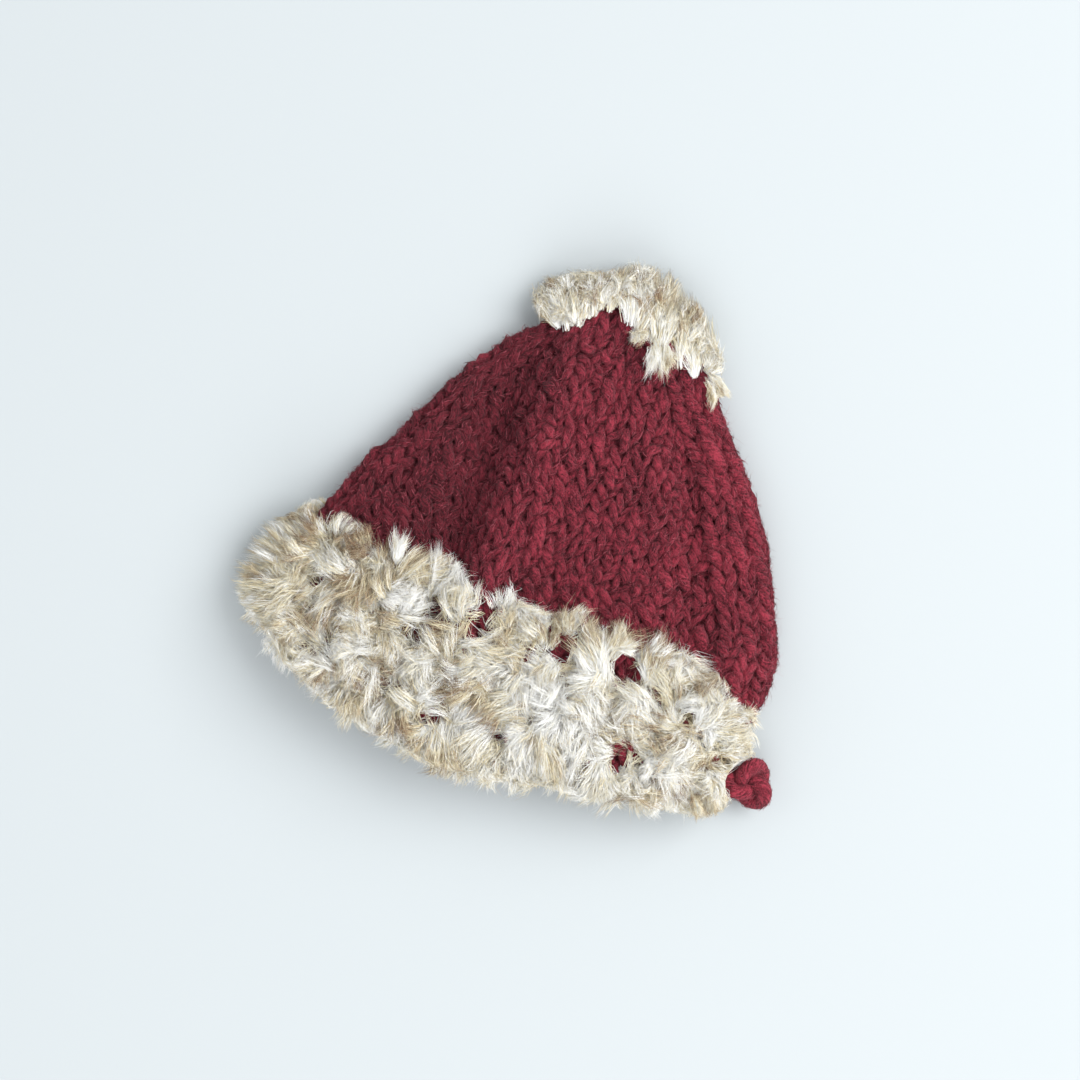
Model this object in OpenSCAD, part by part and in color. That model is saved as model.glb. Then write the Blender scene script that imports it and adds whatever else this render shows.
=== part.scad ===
// Thick hand-knit wool hat lying flat on its back.
// X runs along the brim, Y from the mouth to the crown, Z up from the table.
// Every length is in millimetres.

/* [Knit] */
// Width of the knit across the brim, laid flat
knit_w = 245; // [200:1:300]
// Length of the knit from the mouth edge to the crown edge
knit_l = 234; // [190:1:280]
// Thickness of one knit layer
knit_t = 8; // [5:0.5:10]
// Empty height between the two layers at the brim
cavity_h = 19; // [12:1:40]
// Height of the lengthwise fold on the upper layer
ridge_h = 8; // [0:0.5:12]
// Depth of the hollow on the left of that fold
valley_d = 12; // [0:0.5:13]
// Depth of the slanting hollow on the right
slant_d = 7; // [0:0.5:8]
// Width of the folded or sewn strip along each side
side_w = 6.7; // [4:0.1:7]
// Diameter of the knit yarn where it lies single
yarn_d = 6; // [4:0.5:8]

/* [Fur yarn] */
// Pile height on the upper side of the brim
pile = 13; // [6:0.5:20]
// Pile height pressed flat under the brim
pile_under = 5; // [3:0.5:8]
// How far the pile passes the last row at the mouth
pile_mouth = 13; // [9:0.5:18]
// How far the pile passes the left side of the brim
pile_left = 23; // [8:0.5:26]
// How far the pile passes the crown edge
pile_crown = 28; // [14:0.5:34]

/* [Knot] */
// Thickness of the yarn loops in the end knot
knot_yarn = 6.8; // [5:0.1:7]
// Radius of the loops in the end knot, to the yarn's middle
knot_loop = 7.2; // [6:0.1:7.5]
// Height of the knot's centre above the table
knot_z = 12.5; // [11.5:0.5:16]

/* [Hidden] */
$fn = 40;
e = 0.3;                      // gap between neighbouring pieces
sx = knit_w / 245;
sy = knit_l / 234;
y0 = -93;                     // side ends of the mouth edge
y1 = 97;                      // side ends of the crown edge
band_top = [[0, 0.29], [0.12, 0.32], [0.3, 0.35], [0.5, 0.36], [0.75, 0.35], [0.9, 0.3], [1, 0.24]];
right_rim = [[-0.06, 121], [0.03, 128], [0.17, 128], [0.25, 121]];
knot_x = 144 - knot_loop - knot_yarn / 2;
knot_y = -83;
neck_x = 118.5 * sx;          // the rounded end of the neck, close to the side seam

// Side lines of the hat, [along the length, across]
left_line = [[-99, -124.5], [-70, -119.5], [-38, -113], [-10, -105], [5, -96], [34, -84],
             [51, -76], [73, -62], [88, -46], [97, -38]];
right_line = [[-99, 117.5], [-74, 118], [-60, 121.5], [-42, 125], [-22, 124], [7, 109],
              [29, 96.5], [50, 79], [64, 64.5], [75, 53.5], [88, 42], [97, 35]];
mouth_sag = [[0, 0], [0.07, -8], [0.15, -16], [0.32, -25], [0.45, -28], [0.6, -24], [0.72, -16],
             [0.85, -8], [1, 0]];
cavity = [[0, 0.9], [0.25, 1], [0.45, 0.95], [0.7, 0.75], [1, 0.26]];
ridge_line = [[-60, -30], [-40, -31], [66, -37], [97, -30]];
ridge_fade = [[-90, 0.15], [-40, 1], [40, 1], [70, 0.6], [97, 0]];
slant_line = [[-40, 76], [2, 68], [53, 41], [80, 25]];
slant_fade = [[-60, 0], [-20, 0.7], [10, 1], [55, 1], [80, 0]];
swell_fade = [[-90, 0.3], [-40, 1], [30, 1], [60, 0.3], [80, 0]];

function clamp(v, a, b) = max(a, min(b, v));
function mix(a, b, t) = a + (b - a) * t;
function ease(t) = let (c = clamp(t, 0, 1)) c * c * (3 - 2 * c);
function bell(d, w) = exp(-d * d / (w * w));

// Nominal plan position for f across (0 left, 1 right) and t along (0 mouth, 1 crown)
function xl(t) = lookup(mix(y0, y1, t), left_line);
function xr(t) = lookup(mix(y0, y1, t), right_line);
function sag(f, t) = (1 - t) * lookup(f, mouth_sag) + t * 8 * (1 - pow(2 * f - 1, 2));
function ny(f, t) = mix(y0, y1, t) + sag(f, t);
function fx(x, t) = (x - xl(t)) / (xr(t) - xl(t));

// Height that the pile below lifts the brim, and the upper layer's outer face
function lift(t) = pile_under * ease((0.44 - t) / 0.1);
function rise(x, t) = let (f = clamp(fx(x, t), 0.004, 0.996), y = ny(f, t))
  max(0, cavity_h * lookup(t, cavity) * pow(sin(180 * f), 0.7)
    + ridge_h * bell(x - lookup(y, ridge_line) - 5, 13) * lookup(y, ridge_fade)
    - valley_d * bell(x - lookup(y, ridge_line) + 13, 14) * lookup(y, ridge_fade)
    - slant_d * bell(x - lookup(y, slant_line), 13) * lookup(y, slant_fade)
    + 4 * bell(x - xr(t) + 24, 12) * lookup(y, swell_fade));
function ztop(x, t) = 2 * knit_t + 2 * e + lift(t) + rise(x, t);
function put(x, t, z) = [x * sx, ny(fx(x, t), t) * sy, z];

// Closed solid between two grids of points, top[i][j] and bot[i][j]
module slab(top, bot) {
  n = len(top); m = len(top[0]); k = n * m;
  polyhedron(
    points = concat([for (r = top) for (p = r) p], [for (r = bot) for (p = r) p]),
    faces = concat(
      [for (i = [0:n-2]) for (j = [0:m-2]) [i*m+j, i*m+j+1, (i+1)*m+j+1]],
      [for (i = [0:n-2]) for (j = [0:m-2]) [i*m+j, (i+1)*m+j+1, (i+1)*m+j]],
      [for (i = [0:n-2]) for (j = [0:m-2]) [k+i*m+j, k+(i+1)*m+j+1, k+i*m+j+1]],
      [for (i = [0:n-2]) for (j = [0:m-2]) [k+i*m+j, k+(i+1)*m+j, k+(i+1)*m+j+1]],
      [for (j = [0:m-2]) [j, k+j, k+j+1]],
      [for (j = [0:m-2]) [j, k+j+1, j+1]],
      [for (j = [0:m-2]) let (a = (n-1)*m+j) [a, k+a+1, k+a]],
      [for (j = [0:m-2]) let (a = (n-1)*m+j) [a, a+1, k+a+1]],
      [for (i = [0:n-2]) let (a = i*m, b = (i+1)*m) [a, k+b, k+a]],
      [for (i = [0:n-2]) let (a = i*m, b = (i+1)*m) [a, b, k+b]],
      [for (i = [0:n-2]) let (a = i*m+m-1, b = (i+1)*m+m-1) [a, k+a, k+b]],
      [for (i = [0:n-2]) let (a = i*m+m-1, b = (i+1)*m+m-1) [a, k+b, b]]
    ));
}

// Cord along a path, ra along side and rb along the other normal
function unit(v) = v / norm(v);
module cord(path, ra, rb, side, loop = false, ring = 12) {
  n = len(path);
  dirs = [for (i = [0:n-1]) unit(loop ? path[(i+1)%n] - path[(i+n-1)%n] : path[min(n-1, i+1)] - path[max(0, i-1)])];
  pts = [for (i = [0:n-1])
    let (n1 = unit(side - (side * dirs[i]) * dirs[i]), n2 = cross(dirs[i], n1), c = (loop || (i > 0 && i < n-1)) ? 1 : 0.55)
    for (j = [0:ring-1]) path[i] + c * ra * cos(360*j/ring) * n1 + c * rb * sin(360*j/ring) * n2];
  last = loop ? n - 1 : n - 2;
  faces = concat(
    [for (i = [0:last]) for (j = [0:ring-1]) let (a = i*ring, b = ((i+1)%n)*ring, q = (j+1)%ring) [a+j, b+q, a+q]],
    [for (i = [0:last]) for (j = [0:ring-1]) let (a = i*ring, b = ((i+1)%n)*ring, q = (j+1)%ring) [a+j, b+j, b+q]],
    loop ? [] : [for (j = [1:ring-2]) [0, j, j+1]],
    loop ? [] : [for (j = [1:ring-2]) [(n-1)*ring, (n-1)*ring+j+1, (n-1)*ring+j]]);
  polyhedron(points = pts, faces = faces);
}

ins = side_w + e;             // the layers stop short of the side strips

module knit_back() color([0.42, 0.12, 0.16])
  let (n = 18, m = 20,
    g = [for (j = [0:n]) [for (i = [0:m]) let (t = i / m) [mix(xl(t) + ins, xr(t) - ins, j / n), t]]])
  slab([for (r = g) [for (p = r) put(p[0], p[1], lift(p[1]) + knit_t)]],
       [for (r = g) [for (p = r) put(p[0], p[1], lift(p[1]))]]);

module knit_front() color([0.48, 0.14, 0.19])
  let (n = 32, m = 24,
    g = [for (j = [0:n]) [for (i = [0:m]) let (t = i / m) [mix(xl(t) + ins, xr(t) - ins, j / n), t]]])
  slab([for (r = g) [for (p = r) put(p[0], p[1], ztop(p[0], p[1]))]],
       [for (r = g) [for (p = r) put(p[0], p[1], ztop(p[0], p[1]) - knit_t)]]);

// Half height of the side strips, from just above the table or pile to the upper layer's edge
function side_h(t, x) = (ztop(x, t) - lift(t)) / 2 - 0.2;

module left_fold() color([0.42, 0.12, 0.16])
  slab_strip(1);
module right_seam() color([0.45, 0.13, 0.18])
  slab_strip(-1);
module slab_strip(s) {
  m = 22; ring = 14;
  pts = [for (i = [0:m]) let (t = i / m, x = s > 0 ? xl(t) + side_w/2 : xr(t) - side_w/2,
      xi = s > 0 ? xl(t) + ins : xr(t) - ins, h = side_h(t, xi), c = put(x, t, lift(t) + h + 0.2), yy = put(xi, t, 0)[1])
    for (j = [0:ring-1]) [c[0] + side_w/2 * sx * cos(360*j/ring), mix(yy, c[1], 0.5 - 0.5*s*cos(360*j/ring)), c[2] + h * sin(360*j/ring)]];
  polyhedron(points = pts, faces = concat(
    [for (i = [0:m-1]) for (j = [0:ring-1]) let (a = i*ring, b = (i+1)*ring, q = (j+1)%ring) [a+j, a+q, b+q]],
    [for (i = [0:m-1]) for (j = [0:ring-1]) let (a = i*ring, b = (i+1)*ring, q = (j+1)%ring) [a+j, b+q, b+j]],
    [for (j = [1:ring-2]) [0, j+1, j]],
    [for (j = [1:ring-2]) [m*ring, m*ring+j, m*ring+j+1]]));
}

// Closed cast-on edge round the mouth
module cast_on_edge() color([0.5, 0.15, 0.2]) {
  n = 26; r = 3.6;
  a = xl(0) + r; b = xr(0) - r;
  up = [for (i = [0:n]) let (x = mix(a, b, i / n), p = put(x, 0, 0)) [p[0], p[1] - r - 0.9, ztop(x, 0) - r - 0.6]];
  dn = [for (i = [0:n]) let (x = mix(b, a, i / n), p = put(x, 0, 0)) [p[0], p[1] - r - 0.9, lift(0) + r + 0.4]];
  cord(concat(up, dn), r, r, [0, 1, 0], true, 10);
}

// Brim pile, upper half; it hangs over the left side, the mouth edge and the knot
function lump(x, y) = 1.4 * sin(x * 11) * sin(y * 13 + x * 3);
module brim_fur_front() color([0.85, 0.82, 0.74]) {
  m = 9; n = 26;
  cap = 2 * knit_t + pile_under + cavity_h * 0.2 + 4 * e;
  rows = [for (i = [0:m]) mix(-pile_mouth / 214, 0.29, i / m)];
  ov = [for (i = [0:m]) let (v = i / m) pile_left * (0.25 + 0.75 * pow(sin(180 * clamp(v * 0.9 + 0.08, 0, 1)), 0.6))];
  g = [for (j = [0:n]) [for (i = [0:m]) let (v = i / m, t = mix(-pile_mouth / 214, lookup(clamp((j - 4) / (n - 5), 0, 1), band_top), v),
        a = xl(max(0, t)), b = xr(max(0, t)),
        w = pow(sin(180 * clamp(v * 0.92 + 0.04, 0, 1)), 0.45),
        x = j == 0 ? a - ov[i] : j == 1 ? a - ov[i] * 0.8 : j == 2 ? a - ov[i] * 0.4 : j == 3 ? a - 1.2 : j == 4 ? a - 0.6
          : j == n ? max(b + 2, lookup(t, right_rim)) : mix(a + 3, b, (j - 5) / (n - 6)),
        k = j == 0 ? 0.05 : j == 1 ? 0.5 : j == 2 ? 0.86 : j == n ? 0.5 : 1,
        xc = clamp(x, a + ins, b - ins), tc = max(0, t),
        f = clamp((x - a) / (b - a), 0, 1),
        y = (mix(y0, y1, t) + (1 - t) * lookup(f, mouth_sag) + t * 8 * (1 - pow(2 * f - 1, 2))) * sy,
        out = x < a + ins || x > b - ins,
        low = j < 4 ? pile_under + 2 * e : out ? max(cap, ztop(xc, tc) + 5 * e) : ztop(xc, tc) + 5 * e,
        top = ztop(xc, tc) + pile * (0.35 + 0.65 * w) + lump(x, y),
        hi = max(low + 2, mix(low + (j < 4 ? 7 : 3), top, k)))
      [[x * sx, y, hi], [x * sx, y, low]]]];
  slab([for (r = g) [for (p = r) p[0]]], [for (r = g) [for (p = r) p[1]]]);
}

// Brim pile pressed flat between the lower layer and the table
module brim_fur_back() color([0.8, 0.77, 0.68]) {
  m = 6; n = 20;
  g = [for (j = [0:n]) [for (i = [0:m]) let (t = mix(-pile_mouth / 225, 0.32, i / m), a = xl(max(0, t)), b = xr(max(0, t)),
        v = i / m, w = pow(sin(180 * clamp(v * 0.9 + 0.05, 0, 1)), 0.6),
        x = mix(a - pile_left * 0.7 * w, b + 1, j / n), f = clamp((x - a) / (b - a), 0, 1))
      [x * sx, (mix(y0, y1, t) + (1 - t) * lookup(f, mouth_sag)) * sy, 0]]];
  slab([for (r = g) [for (p = r) p + [0, 0, pile_under - 1.2 * e]]], g);
}

// Yarn that closes the crown edge between the two layers
module crown_seam() color([0.5, 0.15, 0.2]) {
  n = 12; r = yarn_d / 2;
  path = [for (i = [0:n]) let (x = mix(xl(1) + 5, xr(1) - 5, i / n), p = put(x, 1, 0)) [p[0], p[1] + r + 1, knit_t + 1]];
  cord(path, r, r + 1, [0, 1, 0], false, 12);
}

// Crown pile, over the edge and a little way down the upper layer
module crown_fur() color([0.86, 0.83, 0.76]) {
  m = 9; n = 18;
  g = [for (j = [0:n]) [for (i = [0:m]) let (u = j / n, arch = pow(sin(180 * clamp(0.06 + 0.88 * u, 0, 1)), 0.6),
        x = mix(-56, 52, u), xc = clamp(x, xl(1) + ins, xr(1) - ins), f = clamp(fx(xc, 1), 0, 1),
        edge = ny(f, 1), start = edge - 9 * arch, over = edge + yarn_d + 3,
        top_y = 96 + (pile_crown + 10) * arch,
        y = i == 0 ? start : i == 1 ? mix(start, over, 0.5) : i == 2 ? over - 0.4 : i == 3 ? over
          : mix(over, max(over + 3, top_y), (i - 3) / (m - 3)),
        tt = clamp((y - y0 - 8 * (1 - pow(2 * f - 1, 2))) / (y1 - y0), 0, 1),
        inside = x > xl(1) - 1 && x < xr(1) + 1,
        low = i < 3 ? ztop(xc, tt) + 2.5 : 1,
        crest = 34 * pow(arch, 0.4),
        k = i == 0 ? 0.2 : i == m ? 0.12 : i == m - 1 ? 0.55 : i == m - 2 ? 0.85 : 1,
        hi = max(low + 2, mix(i < 3 ? low + 2 : 9, crest + lump(x, y), k)))
      [[x * sx, y * sy, hi], [x * sx, y * sy, low]]]];
  slab([for (r = g) [for (p = r) p[0]]], [for (r = g) [for (p = r) p[1]]]);
}

// Knot on the right end of the brim, and the short neck of yarn it hangs from
module end_knot() color([0.52, 0.16, 0.22])
  translate([knot_x, knot_y, knot_z]) {
    sphere(r = knot_loop + 1.2);
    rotate_extrude() translate([knot_loop, 0]) circle(d = knot_yarn);
    rotate([90, 0, 35]) rotate_extrude() translate([knot_loop, 0]) circle(d = knot_yarn);
  }
module knot_neck() color([0.5, 0.15, 0.2]) {
  r = yarn_d * 0.45;
  reach = max(0.4, knot_x - knot_loop - knot_yarn / 2 - e - neck_x - r);
  translate([neck_x + r, knot_y, knot_z]) {
    rotate([0, 90, 0]) cylinder(r = r, h = reach);
    intersection() {
      sphere(r = r);
      translate([-2 * r, -2 * r, -2 * r]) cube([2 * r + reach, 4 * r, 4 * r]);
    }
  }
}

knit_back();
knit_front();
left_fold();
right_seam();
cast_on_edge();
brim_fur_front();
brim_fur_back();
crown_seam();
crown_fur();
knot_neck();
end_knot();
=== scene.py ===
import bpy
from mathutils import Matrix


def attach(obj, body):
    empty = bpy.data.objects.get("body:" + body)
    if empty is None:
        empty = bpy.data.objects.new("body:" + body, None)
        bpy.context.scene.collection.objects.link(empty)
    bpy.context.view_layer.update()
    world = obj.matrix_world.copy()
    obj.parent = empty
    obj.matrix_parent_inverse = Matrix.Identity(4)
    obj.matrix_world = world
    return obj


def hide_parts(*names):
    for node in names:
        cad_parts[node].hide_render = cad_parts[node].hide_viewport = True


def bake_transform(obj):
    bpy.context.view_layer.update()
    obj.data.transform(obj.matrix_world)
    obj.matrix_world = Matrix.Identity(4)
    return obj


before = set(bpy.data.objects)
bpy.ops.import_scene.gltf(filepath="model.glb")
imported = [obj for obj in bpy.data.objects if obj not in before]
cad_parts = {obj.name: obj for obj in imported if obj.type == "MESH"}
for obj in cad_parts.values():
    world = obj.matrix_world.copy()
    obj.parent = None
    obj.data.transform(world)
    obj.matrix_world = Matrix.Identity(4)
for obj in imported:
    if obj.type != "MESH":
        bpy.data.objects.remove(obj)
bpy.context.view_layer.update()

import math

import bpy
import numpy as np

MM = 0.001
rng = np.random.default_rng(20451)

# ---------------------------------------------------------------- camera
scene = bpy.context.scene
cam_data = bpy.data.cameras.new("cam")
cam_data.lens = 85
cam_data.sensor_width = 36
cam_data.clip_start = 0.05
cam = bpy.data.objects.new("cam", cam_data)
scene.collection.objects.link(cam)
cam.location = (-0.0085, -0.0126, 1.27)
cam.rotation_euler = (0, 0, math.radians(23))
scene.camera = cam

# ---------------------------------------------------------------- the hat's shape, in mm, as in the CAD model
Y0, Y1 = -93.0, 97.0
KNIT_T, CAVITY, GAP, INS, UNDER = 8.0, 19.0, 0.3, 7.0, 5.0
LEFT = [[-99, -124.5], [-70, -119.5], [-38, -113], [-10, -105], [5, -96], [34, -84], [51, -76], [73, -62], [88, -46], [97, -38]]
RIGHT = [[-99, 117.5], [-74, 118], [-60, 121.5], [-42, 125], [-22, 124], [7, 109], [29, 96.5], [50, 79], [64, 64.5], [75, 53.5], [88, 42], [97, 35]]
SAG = [[0, 0], [0.07, -8], [0.15, -16], [0.32, -25], [0.45, -28], [0.6, -24], [0.72, -16], [0.85, -8], [1, 0]]
CAV = [[0, 0.9], [0.25, 1], [0.45, 0.95], [0.7, 0.75], [1, 0.26]]
RIDGE = [[-60, -30], [-40, -31], [66, -37], [97, -30]]
RIDGE_FADE = [[-90, 0.15], [-40, 1], [40, 1], [70, 0.6], [97, 0]]
SLANT = [[-40, 76], [2, 68], [53, 41], [80, 25]]
SLANT_FADE = [[-60, 0], [-20, 0.7], [10, 1], [55, 1], [80, 0]]
SWELL_FADE = [[-90, 0.3], [-40, 1], [30, 1], [60, 0.3], [80, 0]]
BAND_TOP = [[0, 0.29], [0.12, 0.32], [0.3, 0.35], [0.5, 0.36], [0.75, 0.35], [0.9, 0.3], [1, 0.24]]


def table(pairs, soft=0.02, n=600):
    """A smooth reading of a table of points."""
    p = np.array(pairs, float)
    a, b = p[0, 0], p[-1, 0]
    xs = np.linspace(a, b, n)
    ys = np.interp(xs, p[:, 0], p[:, 1])
    k = max(1, int(n * soft))
    ker = np.exp(-np.linspace(-2, 2, 2 * k + 1) ** 2)
    ker /= ker.sum()
    lo, hi = ys[:1] - (ys[1:k + 1][::-1] - ys[:1]), ys[-1:] - (ys[-k - 1:-1][::-1] - ys[-1:])
    ys = np.convolve(np.concatenate([lo, ys, hi]), ker, "valid")
    return lambda v: np.interp(v, xs, ys)


left_f, right_f, sag_f, cav_f = table(LEFT), table(RIGHT), table(SAG, 0.03), table(CAV, 0.05)
ridge_f, ridge_w, slant_f, slant_w, swell_w = table(RIDGE, 0.05), table(RIDGE_FADE, 0.05), table(SLANT, 0.05), table(SLANT_FADE, 0.05), table(SWELL_FADE, 0.05)
band_f = table(BAND_TOP, 0.03)


def ease(v):
    v = np.clip(v, 0, 1)
    return v * v * (3 - 2 * v)


def bell(d, w):
    return np.exp(-(d * d) / (w * w))


def xl(t):
    return left_f(Y0 + (Y1 - Y0) * t)


def xr(t):
    return right_f(Y0 + (Y1 - Y0) * t)


def ny(f, t):
    f = np.clip(f, 0, 1)
    return Y0 + (Y1 - Y0) * t + (1 - t) * sag_f(f) + t * 8 * (1 - (2 * f - 1) ** 2)


def lift(t):
    return UNDER * ease((0.44 - t) / 0.1)


def ztop(x, t):
    f = np.clip((x - xl(t)) / (xr(t) - xl(t)), 0.004, 0.996)
    y = ny(f, t)
    r = (CAVITY * cav_f(t) * np.sin(np.pi * f) ** 0.7
         + 8 * bell(x - ridge_f(y) - 5, 13) * ridge_w(y)
         - 12 * bell(x - ridge_f(y) + 13, 14) * ridge_w(y)
         - 7 * bell(x - slant_f(y), 13) * slant_w(y)
         + 4 * bell(x - xr(t) + 24, 12) * swell_w(y))
    return 2 * KNIT_T + 2 * GAP + lift(t) + np.maximum(0, r)


# Fabric mid-surface as two halves, each a grid over s (0 right side, 1 left side) and t (0 mouth, 1 crown)
NT, NS = 181, 241
T_LO, T_HI = -0.08, 1.08
MID = 4.5


def half_surface(front):
    ts = np.linspace(T_LO, T_HI, NT)
    out = np.zeros((NT, NS, 3))
    length = np.zeros(NT)
    for a, t in enumerate(ts):
        tc = min(max(t, 0.0), 1.0)
        L, R = float(xl(tc)), float(xr(tc))
        xi_l, xi_r = L + INS, R - INS
        zb = float(lift(tc)) + MID
        zl, zr = float(ztop(xi_l, tc)) - MID, float(ztop(xi_r, tc)) - MID
        xs = np.linspace(xi_r, xi_l, 160)
        ml, mr = (zl + zb) / 2, (zr + zb) / 2
        th = np.linspace(0, np.pi / 2, 14)[:-1]
        wid = INS - MID + 0.6
        if front:
            right = [(xi_r + wid * math.cos(v), mr + (zr - mr) * math.sin(v)) for v in th]
            left = [(xi_l - wid * math.cos(v), ml + (zl - ml) * math.sin(v)) for v in th[::-1]]
            mid = list(zip(xs, ztop(xs, tc) - MID))
        else:
            right = [(xi_r + wid * math.cos(v), mr - (mr - zb) * math.sin(v)) for v in th]
            left = [(xi_l - wid * math.cos(v), ml - (ml - zb) * math.sin(v)) for v in th[::-1]]
            mid = [(x, zb) for x in xs]
        p = np.array(right + mid + left)
        d = np.concatenate([[0], np.cumsum(np.hypot(*np.diff(p, axis=0).T))])
        u = np.linspace(0, d[-1], NS)
        x, z = np.interp(u, d, p[:, 0]), np.interp(u, d, p[:, 1])
        out[a, :, 0], out[a, :, 2] = x, z
        out[a, :, 1] = ny((x - L) / (R - L), t)
        length[a] = d[-1]
    ker = np.array([1, 4, 6, 4, 1]) / 16.0
    for _ in range(3):
        pad = np.pad(out, ((0, 0), (2, 2), (0, 0)), mode="reflect", reflect_type="odd")
        out = sum(k * pad[:, i:i + NS] for i, k in enumerate(ker))
    for _ in range(4):
        pad = np.pad(out, ((2, 2), (0, 0), (0, 0)), mode="reflect", reflect_type="odd")
        out = sum(k * pad[i:i + NT] for i, k in enumerate(ker))
    ds = np.gradient(out, axis=1)
    dt = np.gradient(out, axis=0)
    n = np.cross(dt, ds)
    n /= np.linalg.norm(n, axis=2, keepdims=True) + 1e-9
    if not front:
        n = -n
        n[..., :] = np.where((n[:, NS // 2:NS // 2 + 1, 2:3] > 0), -n, n)
    elif n[NT // 2, NS // 2, 2] < 0:
        n = -n
    return ts, out, n, length


FRONT, BACK = half_surface(True), half_surface(False)


def sample(half, s, t):
    """Point and outward normal of the fabric's mid-surface."""
    _, P, N, _ = half
    a = np.clip((np.asarray(t) - T_LO) / (T_HI - T_LO) * (NT - 1), 0, NT - 1.001)
    b = np.clip(np.asarray(s), 0, 1) * (NS - 1.001)
    i, j = a.astype(int), b.astype(int)
    u, v = (a - i)[..., None], (b - j)[..., None]

    def mix(A):
        return (A[i, j] * (1 - u) + A[i + 1, j] * u) * (1 - v) + (A[i, j + 1] * (1 - u) + A[i + 1, j + 1] * u) * v
    p, n = mix(P), mix(N)
    n /= np.linalg.norm(n, axis=-1, keepdims=True) + 1e-9
    over = (np.asarray(s) - np.clip(s, 0, 1))[..., None]
    side = (P[i, np.minimum(j + 1, NS - 1)] - P[i, np.maximum(j - 1, 0)]) * (NS - 1) / 2
    return p + over * side, n


def length_at(half, t):
    return np.interp(t, half[0], half[3])


# ---------------------------------------------------------------- mesh helpers
def new_object(name, verts, polys, mats, index=None, body="hat", attrs=None, smooth=True):
    """polys is a list of integer arrays, each (count, corners)."""
    me = bpy.data.meshes.new(name)
    verts = np.asarray(verts, np.float32) * MM
    me.vertices.add(len(verts))
    me.vertices.foreach_set("co", verts.ravel())
    loops = np.concatenate([p.ravel() for p in polys]).astype(np.int32)
    counts = np.concatenate([np.full(len(p), p.shape[1], np.int32) for p in polys])
    starts = np.concatenate([[0], np.cumsum(counts)[:-1]]).astype(np.int32)
    me.loops.add(len(loops))
    me.loops.foreach_set("vertex_index", loops)
    me.polygons.add(len(counts))
    me.polygons.foreach_set("loop_start", starts)
    me.update(calc_edges=True)
    for m in mats:
        me.materials.append(m)
    if index is not None:
        me.polygons.foreach_set("material_index", np.asarray(index, np.int32))
    for key, val in (attrs or {}).items():
        at = me.attributes.new(key, "FLOAT_VECTOR", "POINT")
        at.data.foreach_set("vector", np.asarray(val, np.float32).ravel())
    if smooth:
        me.shade_smooth()
    me.validate(clean_customdata=False)
    ob = bpy.data.objects.new(name, me)
    scene.collection.objects.link(ob)
    if body:
        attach(ob, body)
    return ob


def unit(v):
    return v / (np.linalg.norm(v, axis=-1, keepdims=True) + 1e-12)


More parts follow.
